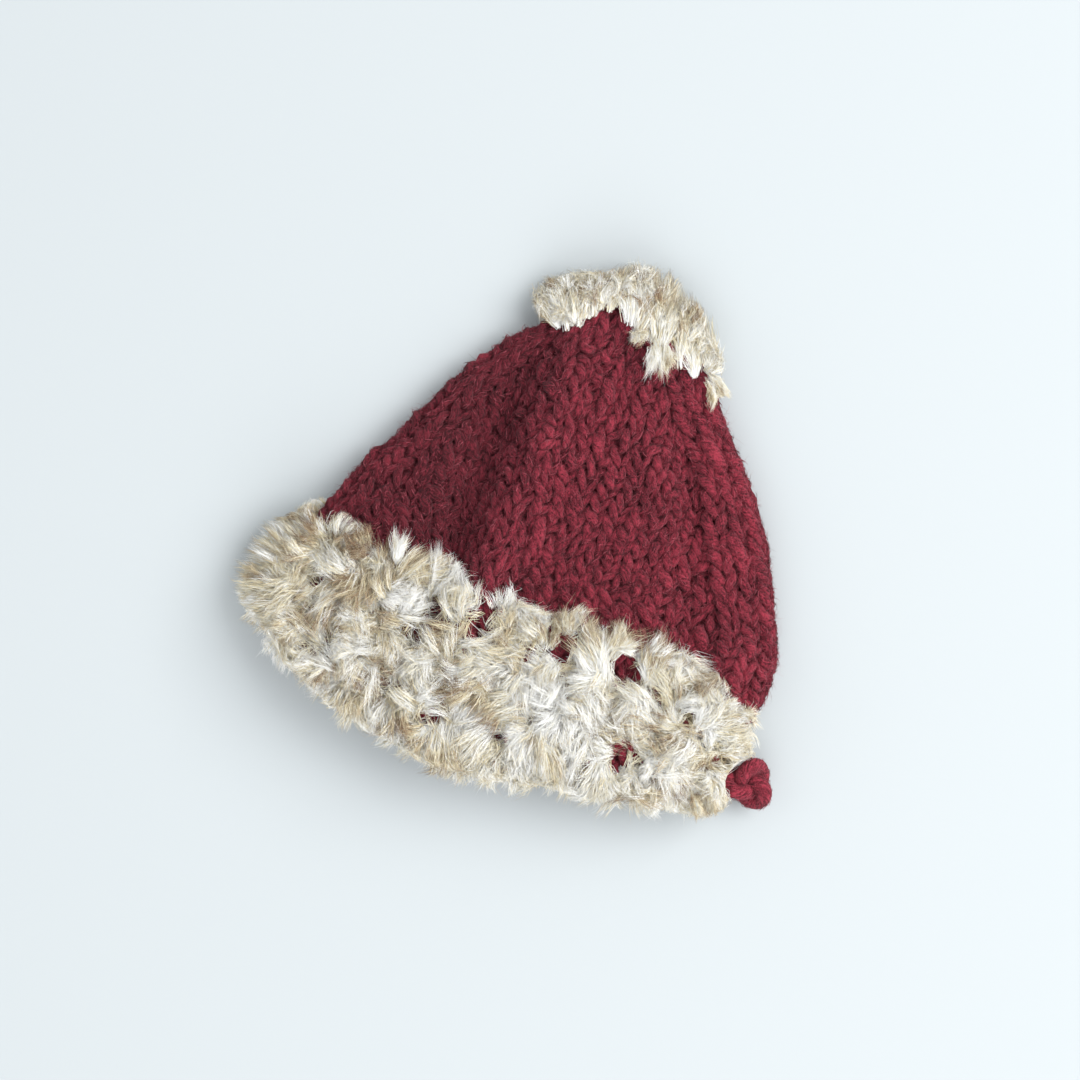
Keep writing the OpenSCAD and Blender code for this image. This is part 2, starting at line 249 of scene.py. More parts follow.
class Tubes:
    """Collects yarn strands as tubes, each with a coordinate that runs along its twist."""

    def __init__(self, ring=8, twist=0.32):
        self.v, self.q, self.t, self.a, self.d, self.n, self.ring, self.twist = [], [], [], [], [], 0, ring, twist
        self.marks = []

    def add(self, pts, rad, normal=None, tone=0, closed=False, flat=1.0, start=0.0):
        self.marks.append((len(self.v), len(self.q), len(self.t), self.n))
        pts = np.asarray(pts, float)
        m, R = len(pts), self.ring
        rad = np.broadcast_to(np.asarray(rad, float), (m,))
        if closed:
            d = np.roll(pts, -1, 0) - np.roll(pts, 1, 0)
        else:
            d = np.gradient(pts, axis=0)
        d = unit(d)
        if normal is None:
            n1 = np.zeros_like(pts)
            ref = np.array([0, 0, 1.0]) if abs(d[0, 2]) < 0.8 else np.array([1.0, 0, 0])
            cur = unit(ref - (ref @ d[0]) * d[0])
            for i in range(m):
                cur = unit(cur - (cur @ d[i]) * d[i])
                n1[i] = cur
        else:
            n1 = unit(normal - (normal * d).sum(1, keepdims=True) * d)
        n2 = np.cross(d, n1)
        arc = start + np.concatenate([[0], np.cumsum(np.linalg.norm(np.diff(pts, axis=0), axis=1))])
        ang = np.arange(R) * 2 * np.pi / R
        ring = pts[:, None] + rad[:, None, None] * (np.cos(ang)[None, :, None] * n1[:, None] * flat + np.sin(ang)[None, :, None] * n2[:, None])
        th = ang[None] + self.twist * arc[:, None]
        att = np.stack([np.cos(th), np.sin(th), np.broadcast_to(arc[:, None], th.shape)], -1)
        base = self.n
        last = m if closed else m - 1
        i = np.arange(last)[:, None]
        j = np.arange(R)[None]
        k = (i + 1) % m
        jn = (j + 1) % R
        q = np.stack(np.broadcast_arrays(i * R + j, i * R + jn, k * R + jn, k * R + j), -1).reshape(-1, 4) + base
        self.v.append(ring.reshape(-1, 3))
        self.a.append(att.reshape(-1, 3))
        self.d.append(np.repeat(d, R, 0))
        self.q.append(q)
        self.n += m * R
        if not closed:
            for end, p, dd in ((0, pts[0], -d[0]), (m - 1, pts[-1], d[-1])):
                self.v.append((p + dd * rad[end] * 0.5)[None])
                self.a.append(np.array([[0, 0, arc[end]]]))
                self.d.append(dd[None])
                e = base + end * R + np.arange(R)
                tri = np.stack([np.roll(e, -1), e, np.full(R, self.n)], -1) if end == 0 else np.stack([e, np.roll(e, -1), np.full(R, self.n)], -1)
                self.t.append(tri)
                self.n += 1
        return arc[-1]

    def parts(self, most=190000):
        """The same strands shared out over several lots, each of at most that many triangles."""
        marks = self.marks + [(len(self.v), len(self.q), len(self.t), self.n)]
        size = [sum(len(x) * 2 for x in self.q[a[1]:b[1]]) + sum(len(x) for x in self.t[a[2]:b[2]]) for a, b in zip(marks, marks[1:])]
        lots = -(-sum(size) // most)
        lot = np.minimum((np.cumsum(size) - np.array(size) / 2) * lots // sum(size), lots - 1).astype(int)
        out = []
        for k in range(lots):
            own = np.where(lot == k)[0]
            a, b = marks[own[0]], marks[own[-1] + 1]
            t = Tubes(self.ring, self.twist)
            t.v, t.a, t.d = self.v[a[0]:b[0]], self.a[a[0]:b[0]], self.d[a[0]:b[0]]
            t.q, t.t = [x - a[3] for x in self.q[a[1]:b[1]]], [x - a[3] for x in self.t[a[2]:b[2]]]
            t.n = b[3] - a[3]
            out.append(t)
        return out

    def build(self, name, mats, slot, body="hat"):
        polys = [np.concatenate(self.q)]
        if self.t:
            polys.append(np.concatenate(self.t))
        v = np.concatenate(self.v)
        v[:, 2] = np.where(v[:, 2] < 0.6, 0.08 + 0.87 / (1 + np.maximum(0, 0.6 - v[:, 2])) * 0.6, v[:, 2])
        return new_object(name, v, polys, mats, body=body, attrs={"yarn": np.concatenate(self.a), "lay": np.concatenate(self.d)})


def fibres(name, paths, rad, mats, index, body="hat"):
    """Tapered three-sided fibres. paths (F, K+1, 3), rad (F, K), index (F, K) one slot for each stretch."""
    F, K1, _ = paths.shape
    K = K1 - 1
    d = unit(np.gradient(paths, axis=1))
    ref = unit(rng.normal(size=(F, 1, 3)))
    n1 = unit(np.cross(d, ref))
    n2 = np.cross(d, n1)
    ang = np.arange(3) * 2 * np.pi / 3
    ring = (paths[:, :K, None] + rad[:, :, None, None] * (np.cos(ang)[None, None, :, None] * n1[:, :K, None] + np.sin(ang)[None, None, :, None] * n2[:, :K, None]))
    verts = np.concatenate([ring.reshape(F, K * 3, 3), paths[:, K:]], 1).reshape(-1, 3)
    base = (np.arange(F) * (K * 3 + 1))[:, None, None, None]
    k = np.arange(K - 1)[None, :, None, None]
    j = np.arange(3)[None, None, :, None]
    jn = (j + 1) % 3
    q = np.concatenate([k * 3 + j, k * 3 + jn, (k + 1) * 3 + jn, (k + 1) * 3 + j], -1) + base
    q = q.reshape(-1, 4)
    qi = np.repeat(index[:, :K - 1, None], 3, 2).reshape(-1)
    j = np.arange(3)[None, :, None]
    jn = (j + 1) % 3
    tri = np.concatenate([(K - 1) * 3 + j, (K - 1) * 3 + jn, np.full_like(j, K * 3)], -1) + base[:, :, :, 0]
    tri = tri.reshape(-1, 3)
    ti = np.repeat(index[:, K - 1], 3)
    return new_object(name, verts, [q, tri], mats, index=np.concatenate([qi, ti]), body=body)


def fibre_pieces(name, paths, rad, mats, index, node=None, body="hat", most=190000):
    """The same, cut from left to right into pieces of at most that many triangles."""
    n = -(-len(paths) * (6 * paths.shape[1] - 9) // most)
    cut = np.quantile(paths[:, 0, 0], np.linspace(0, 1, n + 1)[1:-1])
    part = np.searchsorted(cut, paths[:, 0, 0])
    for i in range(n):
        m = part == i
        ob = fibres(name if n == 1 else "%s_%d" % (name, i + 1), paths[m], rad[m], mats, index[m], body)
        if node:
            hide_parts(node)


# ---------------------------------------------------------------- materials
def srgb(r, g, b):
    c = np.array([r, g, b]) / 255.0
    return tuple(np.where(c <= 0.04045, c / 12.92, ((c + 0.055) / 1.055) ** 2.4)) + (1.0,)


def wool(name, dark, light, bump=0.6, shade=None):
    m = bpy.data.materials.new(name)
    m.use_nodes = True
    nt = m.node_tree
    p = nt.nodes["Principled BSDF"]
    p.inputs["Roughness"].default_value = 0.95
    p.inputs["Specular IOR Level"].default_value = 0.15
    p.inputs["Sheen Weight"].default_value = 0.14
    p.inputs["Sheen Roughness"].default_value = 0.6
    p.inputs["Sheen Tint"].default_value = (0.9, 0.45, 0.5, 1)
    at = nt.nodes.new("ShaderNodeAttribute")
    at.attribute_name = "yarn"
    sc = nt.nodes.new("ShaderNodeVectorMath")
    sc.operation = "MULTIPLY"
    sc.inputs[1].default_value = (1.3, 1.3, 0.12)
    nt.links.new(at.outputs["Vector"], sc.inputs[0])
    streak = nt.nodes.new("ShaderNodeTexNoise")
    streak.inputs["Scale"].default_value = 2.6
    streak.inputs["Detail"].default_value = 4
    streak.inputs["Roughness"].default_value = 0.62
    nt.links.new(sc.outputs[0], streak.inputs["Vector"])
    tc = nt.nodes.new("ShaderNodeTexCoord")
    big = nt.nodes.new("ShaderNodeTexNoise")
    big.inputs["Scale"].default_value = 60
    big.inputs["Detail"].default_value = 3
    nt.links.new(tc.outputs["Object"], big.inputs["Vector"])
    add = nt.nodes.new("ShaderNodeMath")
    add.operation = "MULTIPLY_ADD"
    add.inputs[1].default_value = 0.55
    nt.links.new(streak.outputs["Fac"], add.inputs[0])
    half = nt.nodes.new("ShaderNodeMath")
    half.operation = "MULTIPLY"
    half.inputs[1].default_value = 0.2
    nt.links.new(big.outputs["Fac"], half.inputs[0])
    fleck = nt.nodes.new("ShaderNodeTexNoise")
    fleck.inputs["Scale"].default_value = 1500
    fleck.inputs["Detail"].default_value = 2
    nt.links.new(tc.outputs["Object"], fleck.inputs["Vector"])
    third = nt.nodes.new("ShaderNodeMath")
    third.operation = "MULTIPLY_ADD"
    third.inputs[1].default_value = 0.25
    nt.links.new(fleck.outputs["Fac"], third.inputs[0])
    nt.links.new(half.outputs[0], third.inputs[2])
    nt.links.new(third.outputs[0], add.inputs[2])
    ramp = nt.nodes.new("ShaderNodeValToRGB")
    ramp.color_ramp.elements[0].position = 0.42
    ramp.color_ramp.elements[0].color = dark
    ramp.color_ramp.elements[1].position = 0.58
    ramp.color_ramp.elements[1].color = light
    nt.links.new(add.outputs[0], ramp.inputs["Fac"])
    if shade is None:
        nt.links.new(ramp.outputs["Color"], p.inputs["Base Color"])
    else:
        # painted shade and light: the wool's colour is darker in the fold, left of it and in the dip right of the
        # ridge, where shade falls, and lighter at the right edge, which faces the light
        xyz = nt.nodes.new("ShaderNodeSeparateXYZ")
        nt.links.new(tc.outputs["Object"], xyz.inputs[0])
        span = nt.nodes.new("ShaderNodeMapRange")
        span.inputs["From Min"].default_value = -0.15
        span.inputs["From Max"].default_value = 0.15
        nt.links.new(xyz.outputs["X"], span.inputs["Value"])
        band = nt.nodes.new("ShaderNodeValToRGB")
        band.color_ramp.interpolation = "B_SPLINE"
        for k, (x, f) in enumerate(shade):
            el = band.color_ramp.elements[k] if k < 2 else band.color_ramp.elements.new(0.5)
            el.position = (x + 150) / 300
            el.color = (f, f, f, 1)
        nt.links.new(span.outputs["Result"], band.inputs["Fac"])
        mul = nt.nodes.new("ShaderNodeVectorMath")
        mul.operation = "MULTIPLY"
        nt.links.new(ramp.outputs["Color"], mul.inputs[0])
        nt.links.new(band.outputs["Color"], mul.inputs[1])
        nt.links.new(mul.outputs[0], p.inputs["Base Color"])
    fuzz = nt.nodes.new("ShaderNodeTexNoise")
    fuzz.inputs["Scale"].default_value = 900
    fuzz.inputs["Detail"].default_value = 3
    nt.links.new(tc.outputs["Object"], fuzz.inputs["Vector"])
    b1 = nt.nodes.new("ShaderNodeBump")
    b1.inputs["Strength"].default_value = bump
    b1.inputs["Distance"].default_value = 0.0016
    nt.links.new(streak.outputs["Fac"], b1.inputs["Height"])
    b2 = nt.nodes.new("ShaderNodeBump")
    b2.inputs["Strength"].default_value = 0.6
    b2.inputs["Distance"].default_value = 0.0009
    nt.links.new(fuzz.outputs["Fac"], b2.inputs["Height"])
    nt.links.new(b1.outputs["Normal"], b2.inputs["Normal"])
    nt.links.new(b2.outputs["Normal"], p.inputs["Normal"])
    return m


def plain(name, colour, rough=0.8, sheen=0.3, tint=(1, 1, 1, 1), spec=0.25):
    m = bpy.data.materials.new(name)
    m.use_nodes = True
    p = m.node_tree.nodes["Principled BSDF"]
    p.inputs["Base Color"].default_value = colour
    p.inputs["Roughness"].default_value = rough
    p.inputs["Specular IOR Level"].default_value = spec
    p.inputs["Sheen Weight"].default_value = sheen
    p.inputs["Sheen Tint"].default_value = tint
    return m


# painted shade and light across the front knit, a factor on the wool's colour at each x in mm: below 1 is painted
# shade, above 1 painted light
PAINTED_SHADE_AND_LIGHT = [(-120, 0.76), (-88, 0.58), (-60, 0.54), (-42, 0.58), (-28, 0.98), (-8, 1.02), (24, 0.74), (48, 0.78), (76, 0.98), (98, 1.14), (125, 1.1)]
wool_mat = wool("wool", srgb(53, 10, 19), srgb(143, 46, 61))
front_mat_painted_shade_and_light = wool("wool_front_painted_shade_and_light", srgb(53, 10, 19), srgb(143, 46, 61), shade=PAINTED_SHADE_AND_LIGHT)
sewn_mat = wool("wool_sewn", srgb(66, 14, 24), srgb(158, 54, 70))
fuzz_mats = [plain("wool_fuzz_a", srgb(123, 40, 54), 0.9, 0.1, (1, 0.6, 0.65, 1)), plain("wool_fuzz_b", srgb(65, 12, 22), 0.9, 0.1, (1, 0.6, 0.65, 1)),
             plain("wool_fuzz_c", srgb(156, 72, 84), 0.9, 0.1, (1, 0.7, 0.7, 1))]
FUR = [("fur_white", (249, 249, 247)), ("fur_milk", (243, 241, 231)), ("fur_cream", (236, 229, 207)), ("fur_straw", (223, 212, 179)),
       ("fur_beige", (204, 189, 159)), ("fur_tan", (181, 159, 129)), ("fur_brown", (153, 127, 101)), ("fur_bark", (124, 98, 77))]
fur_mats = [plain(n, srgb(*c), 0.7, 0.1, spec=0.15) for n, c in FUR]

# ---------------------------------------------------------------- knit
ROWS = 31
PITCH = 9.6


def wale_layout(half, n0, keep_r, keep_l, fr, fl):
    """Width of each wale at each height. Wales end one by one beside the edge ones as the sides slope in."""
    ts = np.linspace(-0.1, 1.1, 400)
    gain_l = np.interp(ts, ts, xl(np.clip(ts, 0, 1)) - float(xl(0.0)))
    gain_r = np.maximum.accumulate(float(xr(0.27)) - xr(np.clip(ts, 0.27, 1)))
    end = np.full(n0, 9.0)
    k = 0
    for i in range(keep_r, n0 // 2):
        g = PITCH * (k + fr)
        if g > gain_r[-1]:
            break
        end[i] = ts[np.searchsorted(gain_r, g)]
        k += 1
    k = 0
    for i in range(n0 - 1 - keep_l, n0 // 2, -1):
        g = PITCH * (k + fl)
        if g > gain_l[-1]:
            break
        end[i] = ts[np.searchsorted(np.maximum.accumulate(gain_l), g)]
        k += 1
    w = ease((end[None] - ts[:, None]) / 0.09 + 0.5)
    w = w * (1 + 0.26 * np.exp(-((np.arange(n0) - 1) / 5.5) ** 2))[None]
    e = np.concatenate([np.zeros((len(ts), 1)), np.cumsum(w, 1)], 1)
    e /= e[:, -1:]
    return ts, w, e


def knit(half, n0, keep_r, keep_l, name, seed, sub, ring, fr=0.55, fl=0.55):
    r = np.random.default_rng(seed)
    ts, w, e = wale_layout(half, n0, keep_r, keep_l, fr, fl)
    wobble = np.clip(r.normal(size=(ROWS + 2, n0, 6)), -2, 2)
    tubes = Tubes(ring)
    dt = 1.0 / ROWS
    arc = 0.0
    sites = []
    for j in range(ROWS):
        t0 = (j + 0.5) * dt
        row_w = [np.interp(t0, ts, w[:, i]) for i in range(n0)]
        pts, nrm, rad = [], [], []
        live = [i for i in range(n0) if row_w[i] > 0.48]
        for i in live:
            u = np.arange(sub) / sub
            if i == live[-1]:
                u = np.arange(sub + 1) / sub
            T = 2 * np.pi * u
            jit = wobble[j, i]
            A = 1.7 + 0.22 * jit[0]
            hh = (0.79 + 0.035 * jit[1]) * dt
            t = t0 - hh * np.cos(T) + dt * 0.1 * jit[2] + dt * 0.1 * np.sin(T) * jit[3]
            q = (T + A * (1 - 0.18 * np.sin(T)) * np.sin(2 * T)) / (2 * np.pi) + 0.07 * jit[4] * np.sin(T / 2) ** 2
            e0, e1 = np.interp(t, ts, e[:, i]), np.interp(t, ts, e[:, i + 1])
            s = e0 + q * (e1 - e0)
            soft = np.clip(np.minimum(t, 1 - t) / 0.08, 0, 1) * np.clip(np.minimum(s, 1 - s) / 0.06, 0, 1)
            t = t + dt * 0.42 * soft * (np.sin(2 * np.pi * (2.3 * s + 1.1 * t) + 0.7) + 0.7 * np.sin(2 * np.pi * (5.3 * s - 2.6 * t) + 2) + 0.5 * np.sin(2 * np.pi * (9.1 * s + 3.7 * t)))
            s = s + 0.0058 * soft * (np.sin(2 * np.pi * (3.1 * t + 1.7 * s) + 1) + 0.7 * np.sin(2 * np.pi * (7.3 * t - 2.2 * s)))
            p, n = sample(half, s, t)
            wide = np.interp(t0, ts, (e[:, i + 1] - e[:, i])) * float(length_at(half, t0)) / PITCH
            z = -1.45 * np.cos(2 * T) * (1 + 0.15 * jit[5]) - 0.45 * np.sin(T) * (1 + 0.9 * jit[3])
            pts.append(p + n * z[:, None])
            nrm.append(n)
            rad.append((1.7 + 0.48 * np.cos(2 * T + np.pi)) * (1 - 0.1 * np.sin(T) * (1 + 0.8 * jit[0])) * (1 + 0.1 * jit[5]) * np.clip(wide, 0.75, 1.2) ** 0.8)
            sites.append((p, n))
        pts, nrm, rad = np.concatenate(pts), np.concatenate(nrm), np.concatenate(rad)
        noise = np.convolve(r.normal(size=len(pts) + 8), np.ones(9) / 9, "valid")
        m = len(pts)
        rad = rad * np.clip(0.55 + np.minimum(np.arange(m), np.arange(m)[::-1]) / (0.55 * sub), 0, 1)
        arc = tubes.add(pts, rad * (1 + 0.34 * noise), nrm, start=arc)
    return tubes, (ts, w, e)


def edge_chain(tubes, s, seed, y_top=1.03):
    """The turned edge stitches, a chain of long slanting legs down one side."""
    r = np.random.default_rng(seed)
    n = 420
    t = np.linspace(-0.01, y_top, n)
    f, nf = sample(FRONT, np.full(n, s), t)
    b, nb = sample(BACK, np.full(n, s), t)
    mid, nn = (f + b) / 2, unit(nf + nb + np.array([0, 0, 1e-3]))
    along = unit(np.gradient(mid, axis=0))
    out = unit(np.stack([along[:, 1], -along[:, 0], np.zeros(n)], 1)) * (1 if s < 0.5 else -1)
    arc = np.concatenate([[0], np.cumsum(np.linalg.norm(np.diff(mid, axis=0), axis=1))])
    half = np.linalg.norm(f - b, axis=1) / 2
    for z0, ph in ((0.75, 0), (-0.1, 2.1), (-0.85, 4.2)):
        a = 2 * np.pi * arc / 13.0 + ph + 0.5 * np.convolve(r.normal(size=n + 24), np.ones(25) / 5, "valid")
        c = mid + out * (0.5 + 0.4 * np.cos(a))[:, None] + np.array([0, 0, 1.0]) * (z0 * half * 0.8 + 1.5 * np.sin(a))[:, None]
        rr = 2.1 * (1 + 0.09 * np.cos(a)) * (1 + 0.12 * np.convolve(r.normal(size=n + 14), np.ones(15) / 4, "valid"))
        tubes.add(c[::2], np.clip(rr, 1.5, 3)[::2], normal=out[::2])


SUB, RING = ((18, 8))
front_tubes, front_lay = knit(FRONT, 27, 3, 2, "knit_front", 5, SUB, RING)
edge_chain(front_tubes, 0.004, 91)
edge_chain(front_tubes, 0.996, 92)
front = [lot.build("knit_upper_rows_%d" % (i + 1), [front_mat_painted_shade_and_light], "wool") for i, lot in enumerate(front_tubes.parts())]
for ob in front:
    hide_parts("knit_front", "left_fold")
back_tubes, back_lay = knit(BACK, 26, 3, 3, "knit_back", 6, max(8, SUB - 4), RING)
back = back_tubes.build("knit_lower_rows", [wool_mat], "wool")
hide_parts("knit_back")

# inner faces of the stitches, which close the gaps between the loops; they are the yarn behind, coloured darker than
# the wool as painted shade in the gaps
ground_mat_painted_shade = wool("wool_inside_painted_shade", srgb(50, 12, 20), srgb(104, 30, 42), bump=0.8)


def ground(half, name, side):
    nt, ns = 120, 150
    t, s = np.meshgrid(np.linspace(-0.005, 1.01, nt), np.linspace(0.004, 0.996, ns), indexing="ij")
    p, n = sample(half, s, t)
    rows_, cols_ = t * ROWS * 2 * np.pi, s * 27 * 2 * np.pi
    p = p + n * (side + 0.35 * np.cos(rows_) * np.cos(cols_))[..., None]
    p[..., 2] = np.maximum(p[..., 2], 0.5)
    i, j = np.meshgrid(np.arange(nt - 1), np.arange(ns - 1), indexing="ij")
    a = (i * ns + j).ravel()
    q = np.stack([a, a + 1, a + ns + 1, a + ns], 1)
    yarn = np.stack([np.cos(cols_), np.sin(rows_), rows_ * 1.2 + cols_ * 7.7], -1).reshape(-1, 3)
    return new_object(name, p.reshape(-1, 3), [q], [ground_mat_painted_shade], attrs={"yarn": yarn})


ob = ground(FRONT, "knit_upper_inside", -0.7)
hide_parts("knit_front")
ob = ground(BACK, "knit_lower_inside", -0.7)
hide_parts("knit_back")

# cast-on edge, a two-strand rope round the mouth
tubes = Tubes(8)


def mouth_loop(n=240):
    u = np.linspace(0, 1, n // 2, endpoint=False)
    pf, nf = sample(FRONT, u, np.full(n // 2, -0.018))
    pb, nb = sample(BACK, 1 - u, np.full(n // 2, -0.018))
    return np.concatenate([pf, pb]), np.concatenate([nf, nb])


p, n = mouth_loop()
for _ in range(6):
    p = (np.roll(p, 1, 0) + 2 * p + np.roll(p, -1, 0)) / 4
d = unit(np.roll(p, -1, 0) - np.roll(p, 1, 0))
n = unit(n - (n * d).sum(1, keepdims=True) * d)
b = np.cross(d, n)
arc = np.concatenate([[0], np.cumsum(np.linalg.norm(np.diff(p, axis=0), axis=1))])
turns = 44
for ph in (0, np.pi):
    a = 2 * np.pi * turns * arc / (arc[-1] + np.linalg.norm(p[0] - p[-1])) + ph
    tubes.add(p + 1.9 * (np.cos(a)[:, None] * n + np.sin(a)[:, None] * b), 2.5, closed=True, normal=n)
edge = tubes.build("cast_on_rope", [wool_mat], "wool")
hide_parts("cast_on_edge")

# side seam, sewing yarn in short slanting stitches
tubes = Tubes(8)
for k in range(24):
    t = np.linspace((k + 0.2) / 24.5, (k + 1.25) / 24.5, 9)
    s = np.linspace(0.012, -0.006, 9)
    a, na = sample(FRONT, s, t)
    lift_up = 1.3 * np.sin(np.linspace(0, np.pi, 9))[:, None]
    tubes.add(a + na * (0.2 + lift_up) + np.array([0, 0, -4.5]), 1.6, normal=na)
seam = tubes.build("seam_stitches", [sewn_mat], "wool_sewing")
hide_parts("right_seam")

# crown closing yarn
tubes = Tubes(8)
u = np.linspace(0.06, 0.94, 140)
pa, na = sample(FRONT, u, np.full(140, 1.02))
pb, nb = sample(BACK, u, np.full(140, 1.02))
mid = (pa + pb) / 2
w = np.sin(u * 2 * np.pi * 12)[:, None]
tubes.add(mid + np.array([0, 1.0, 0]) + np.array([0, 0, 1.0]) * w * 3.5, 2.4)
crown_seam = tubes.build("crown_closing_yarn", [sewn_mat], "wool_sewing")
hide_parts("crown_seam")

# ---------------------------------------------------------------- end knot and its neck
KC = np.array([133.0, -83.0, 12.5])
tubes = Tubes(12, 0.3)
T = np.linspace(0, 2 * np.pi, 150, endpoint=False)
rot = math.radians(52)
kx, ky, kz = np.sin(T) + 2 * np.sin(2 * T), np.cos(T) - 2 * np.cos(2 * T), -np.sin(3 * T)
kp = np.stack([kx * math.cos(rot) - ky * math.sin(rot), kx * math.sin(rot) + ky * math.cos(rot), kz * 1.9], 1)
kp[:, :2] *= 2.85
tubes.add(kp * [1.27, 1.12, 2.0] + KC, 3.9 + 0.35 * np.sin(5 * T + 1), closed=True)
knot = tubes.build("yarn_knot", [sewn_mat], "wool_sewing", body="knot")
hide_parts("end_knot")
tubes = Tubes(10, 0.3)
tubes.add(np.array([[115.5, -81.5, 14.5], [117.5, -82.2, 14.0], [120, -83, 13.2], [123, -83.4, 12.6], [126.5, -83.4, 12.4]]), 2.9)
neck = tubes.build("knot_neck_yarn", [sewn_mat], "wool_sewing", body=None)
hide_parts("knot_neck")
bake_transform(neck)

# ---------------------------------------------------------------- fur yarn
K = 4


def locks(base, nrm, heading, length, rise, per, spread, tone, r, width=0.27, floor=0.25, curl=4.0, droop=0.0):
    """Locks of fibres. Returns fibre paths (F, K+1, 3), radii and a tone for each stretch."""
    n = len(base)
    side = np.cross(nrm, heading)
    L = length[:, None]
    bend = r.normal(size=(n, 1)) * curl
    lift_a = rise[:, None] * (0.75 + 0.3 * r.random((n, 1)))
    p0 = base - nrm * 1.0
    p1 = base + nrm * lift_a + heading * L * 0.28 + side * bend * 0.2
    p2 = base + nrm * lift_a * (0.75 + 0.5 * r.random((n, 1))) + heading * L * 0.95 + side * bend
    p2[:, 2] -= droop * L[:, 0]
    u = np.linspace(0, 1, K + 1)[None, :, None]
    # each fibre leaves a small root patch, fans out and closes a little at the tip
    F = n * per
    idx = np.repeat(np.arange(n), per)
    g1, g2 = r.normal(size=(F, 1)), r.normal(size=(F, 1))
    root = side[idx] * g1 * spread * 0.75 + heading[idx] * r.normal(size=(F, 1)) * spread * 0.6
    midv = side[idx] * g1 * spread * 1.15 + nrm[idx] * g2 * spread * 0.8
    tip = side[idx] * g1 * spread * 0.75 + nrm[idx] * g2 * spread * 0.55 + heading[idx] * (r.random((F, 1)) - 0.65) * L[idx] * 0.3
    a, b, c = p0[idx] + root, p1[idx] + midv, p2[idx] + tip
    path = (1 - u) ** 2 * a[:, None] + 2 * u * (1 - u) * b[:, None] + u * u * c[:, None]
    wav = r.normal(size=(F, K + 1, 3)) * np.array([0, 0.18, 0.4, 0.55, 0.7])[None, :, None]
    path = path + wav
    path[..., 2] = np.maximum(path[..., 2], floor + 0.4 * r.random((F, 1)))
    rad = width * np.array([0.85, 1.0, 0.85, 0.55])[None] * (0.75 + 0.5 * r.random((F, 1)))
    # tones run from root to tip
    tn = tone[idx][:, None] + np.array([0.9, 0.35, -0.2, -0.1])[None] + r.normal(size=(F, 1)) * 0.55
    return path, rad, tn


def nearest(points, centres):
    d = ((points[:, None, :2] - centres[None, :, :2]) ** 2).sum(-1)
    return np.argmin(d, 1)


def project(v, n):
    return unit(v - (v * n).sum(1, keepdims=True) * n)


def index_of(tn):
    return np.clip(np.round(tn), 0, len(FUR) - 1).astype(int)


DENS = 1.0


def patches(p):
    """Where the yarn of the pile was spun from brown or from white, about 6 mm to a patch."""
    x, y = p[..., 0], p[..., 1]
    v = np.sin(x * 0.43 + 1.6 * np.sin(y * 0.21 + 0.8)) * np.sin(y * 0.49 + 1.5 * np.sin(x * 0.17)) + 0.35 * np.sin(x * 0.9 + y * 0.7)
    return 2.2 * np.clip(v - 0.35, 0, 1) - 0.9 * np.clip(-v - 0.35, 0, 1)


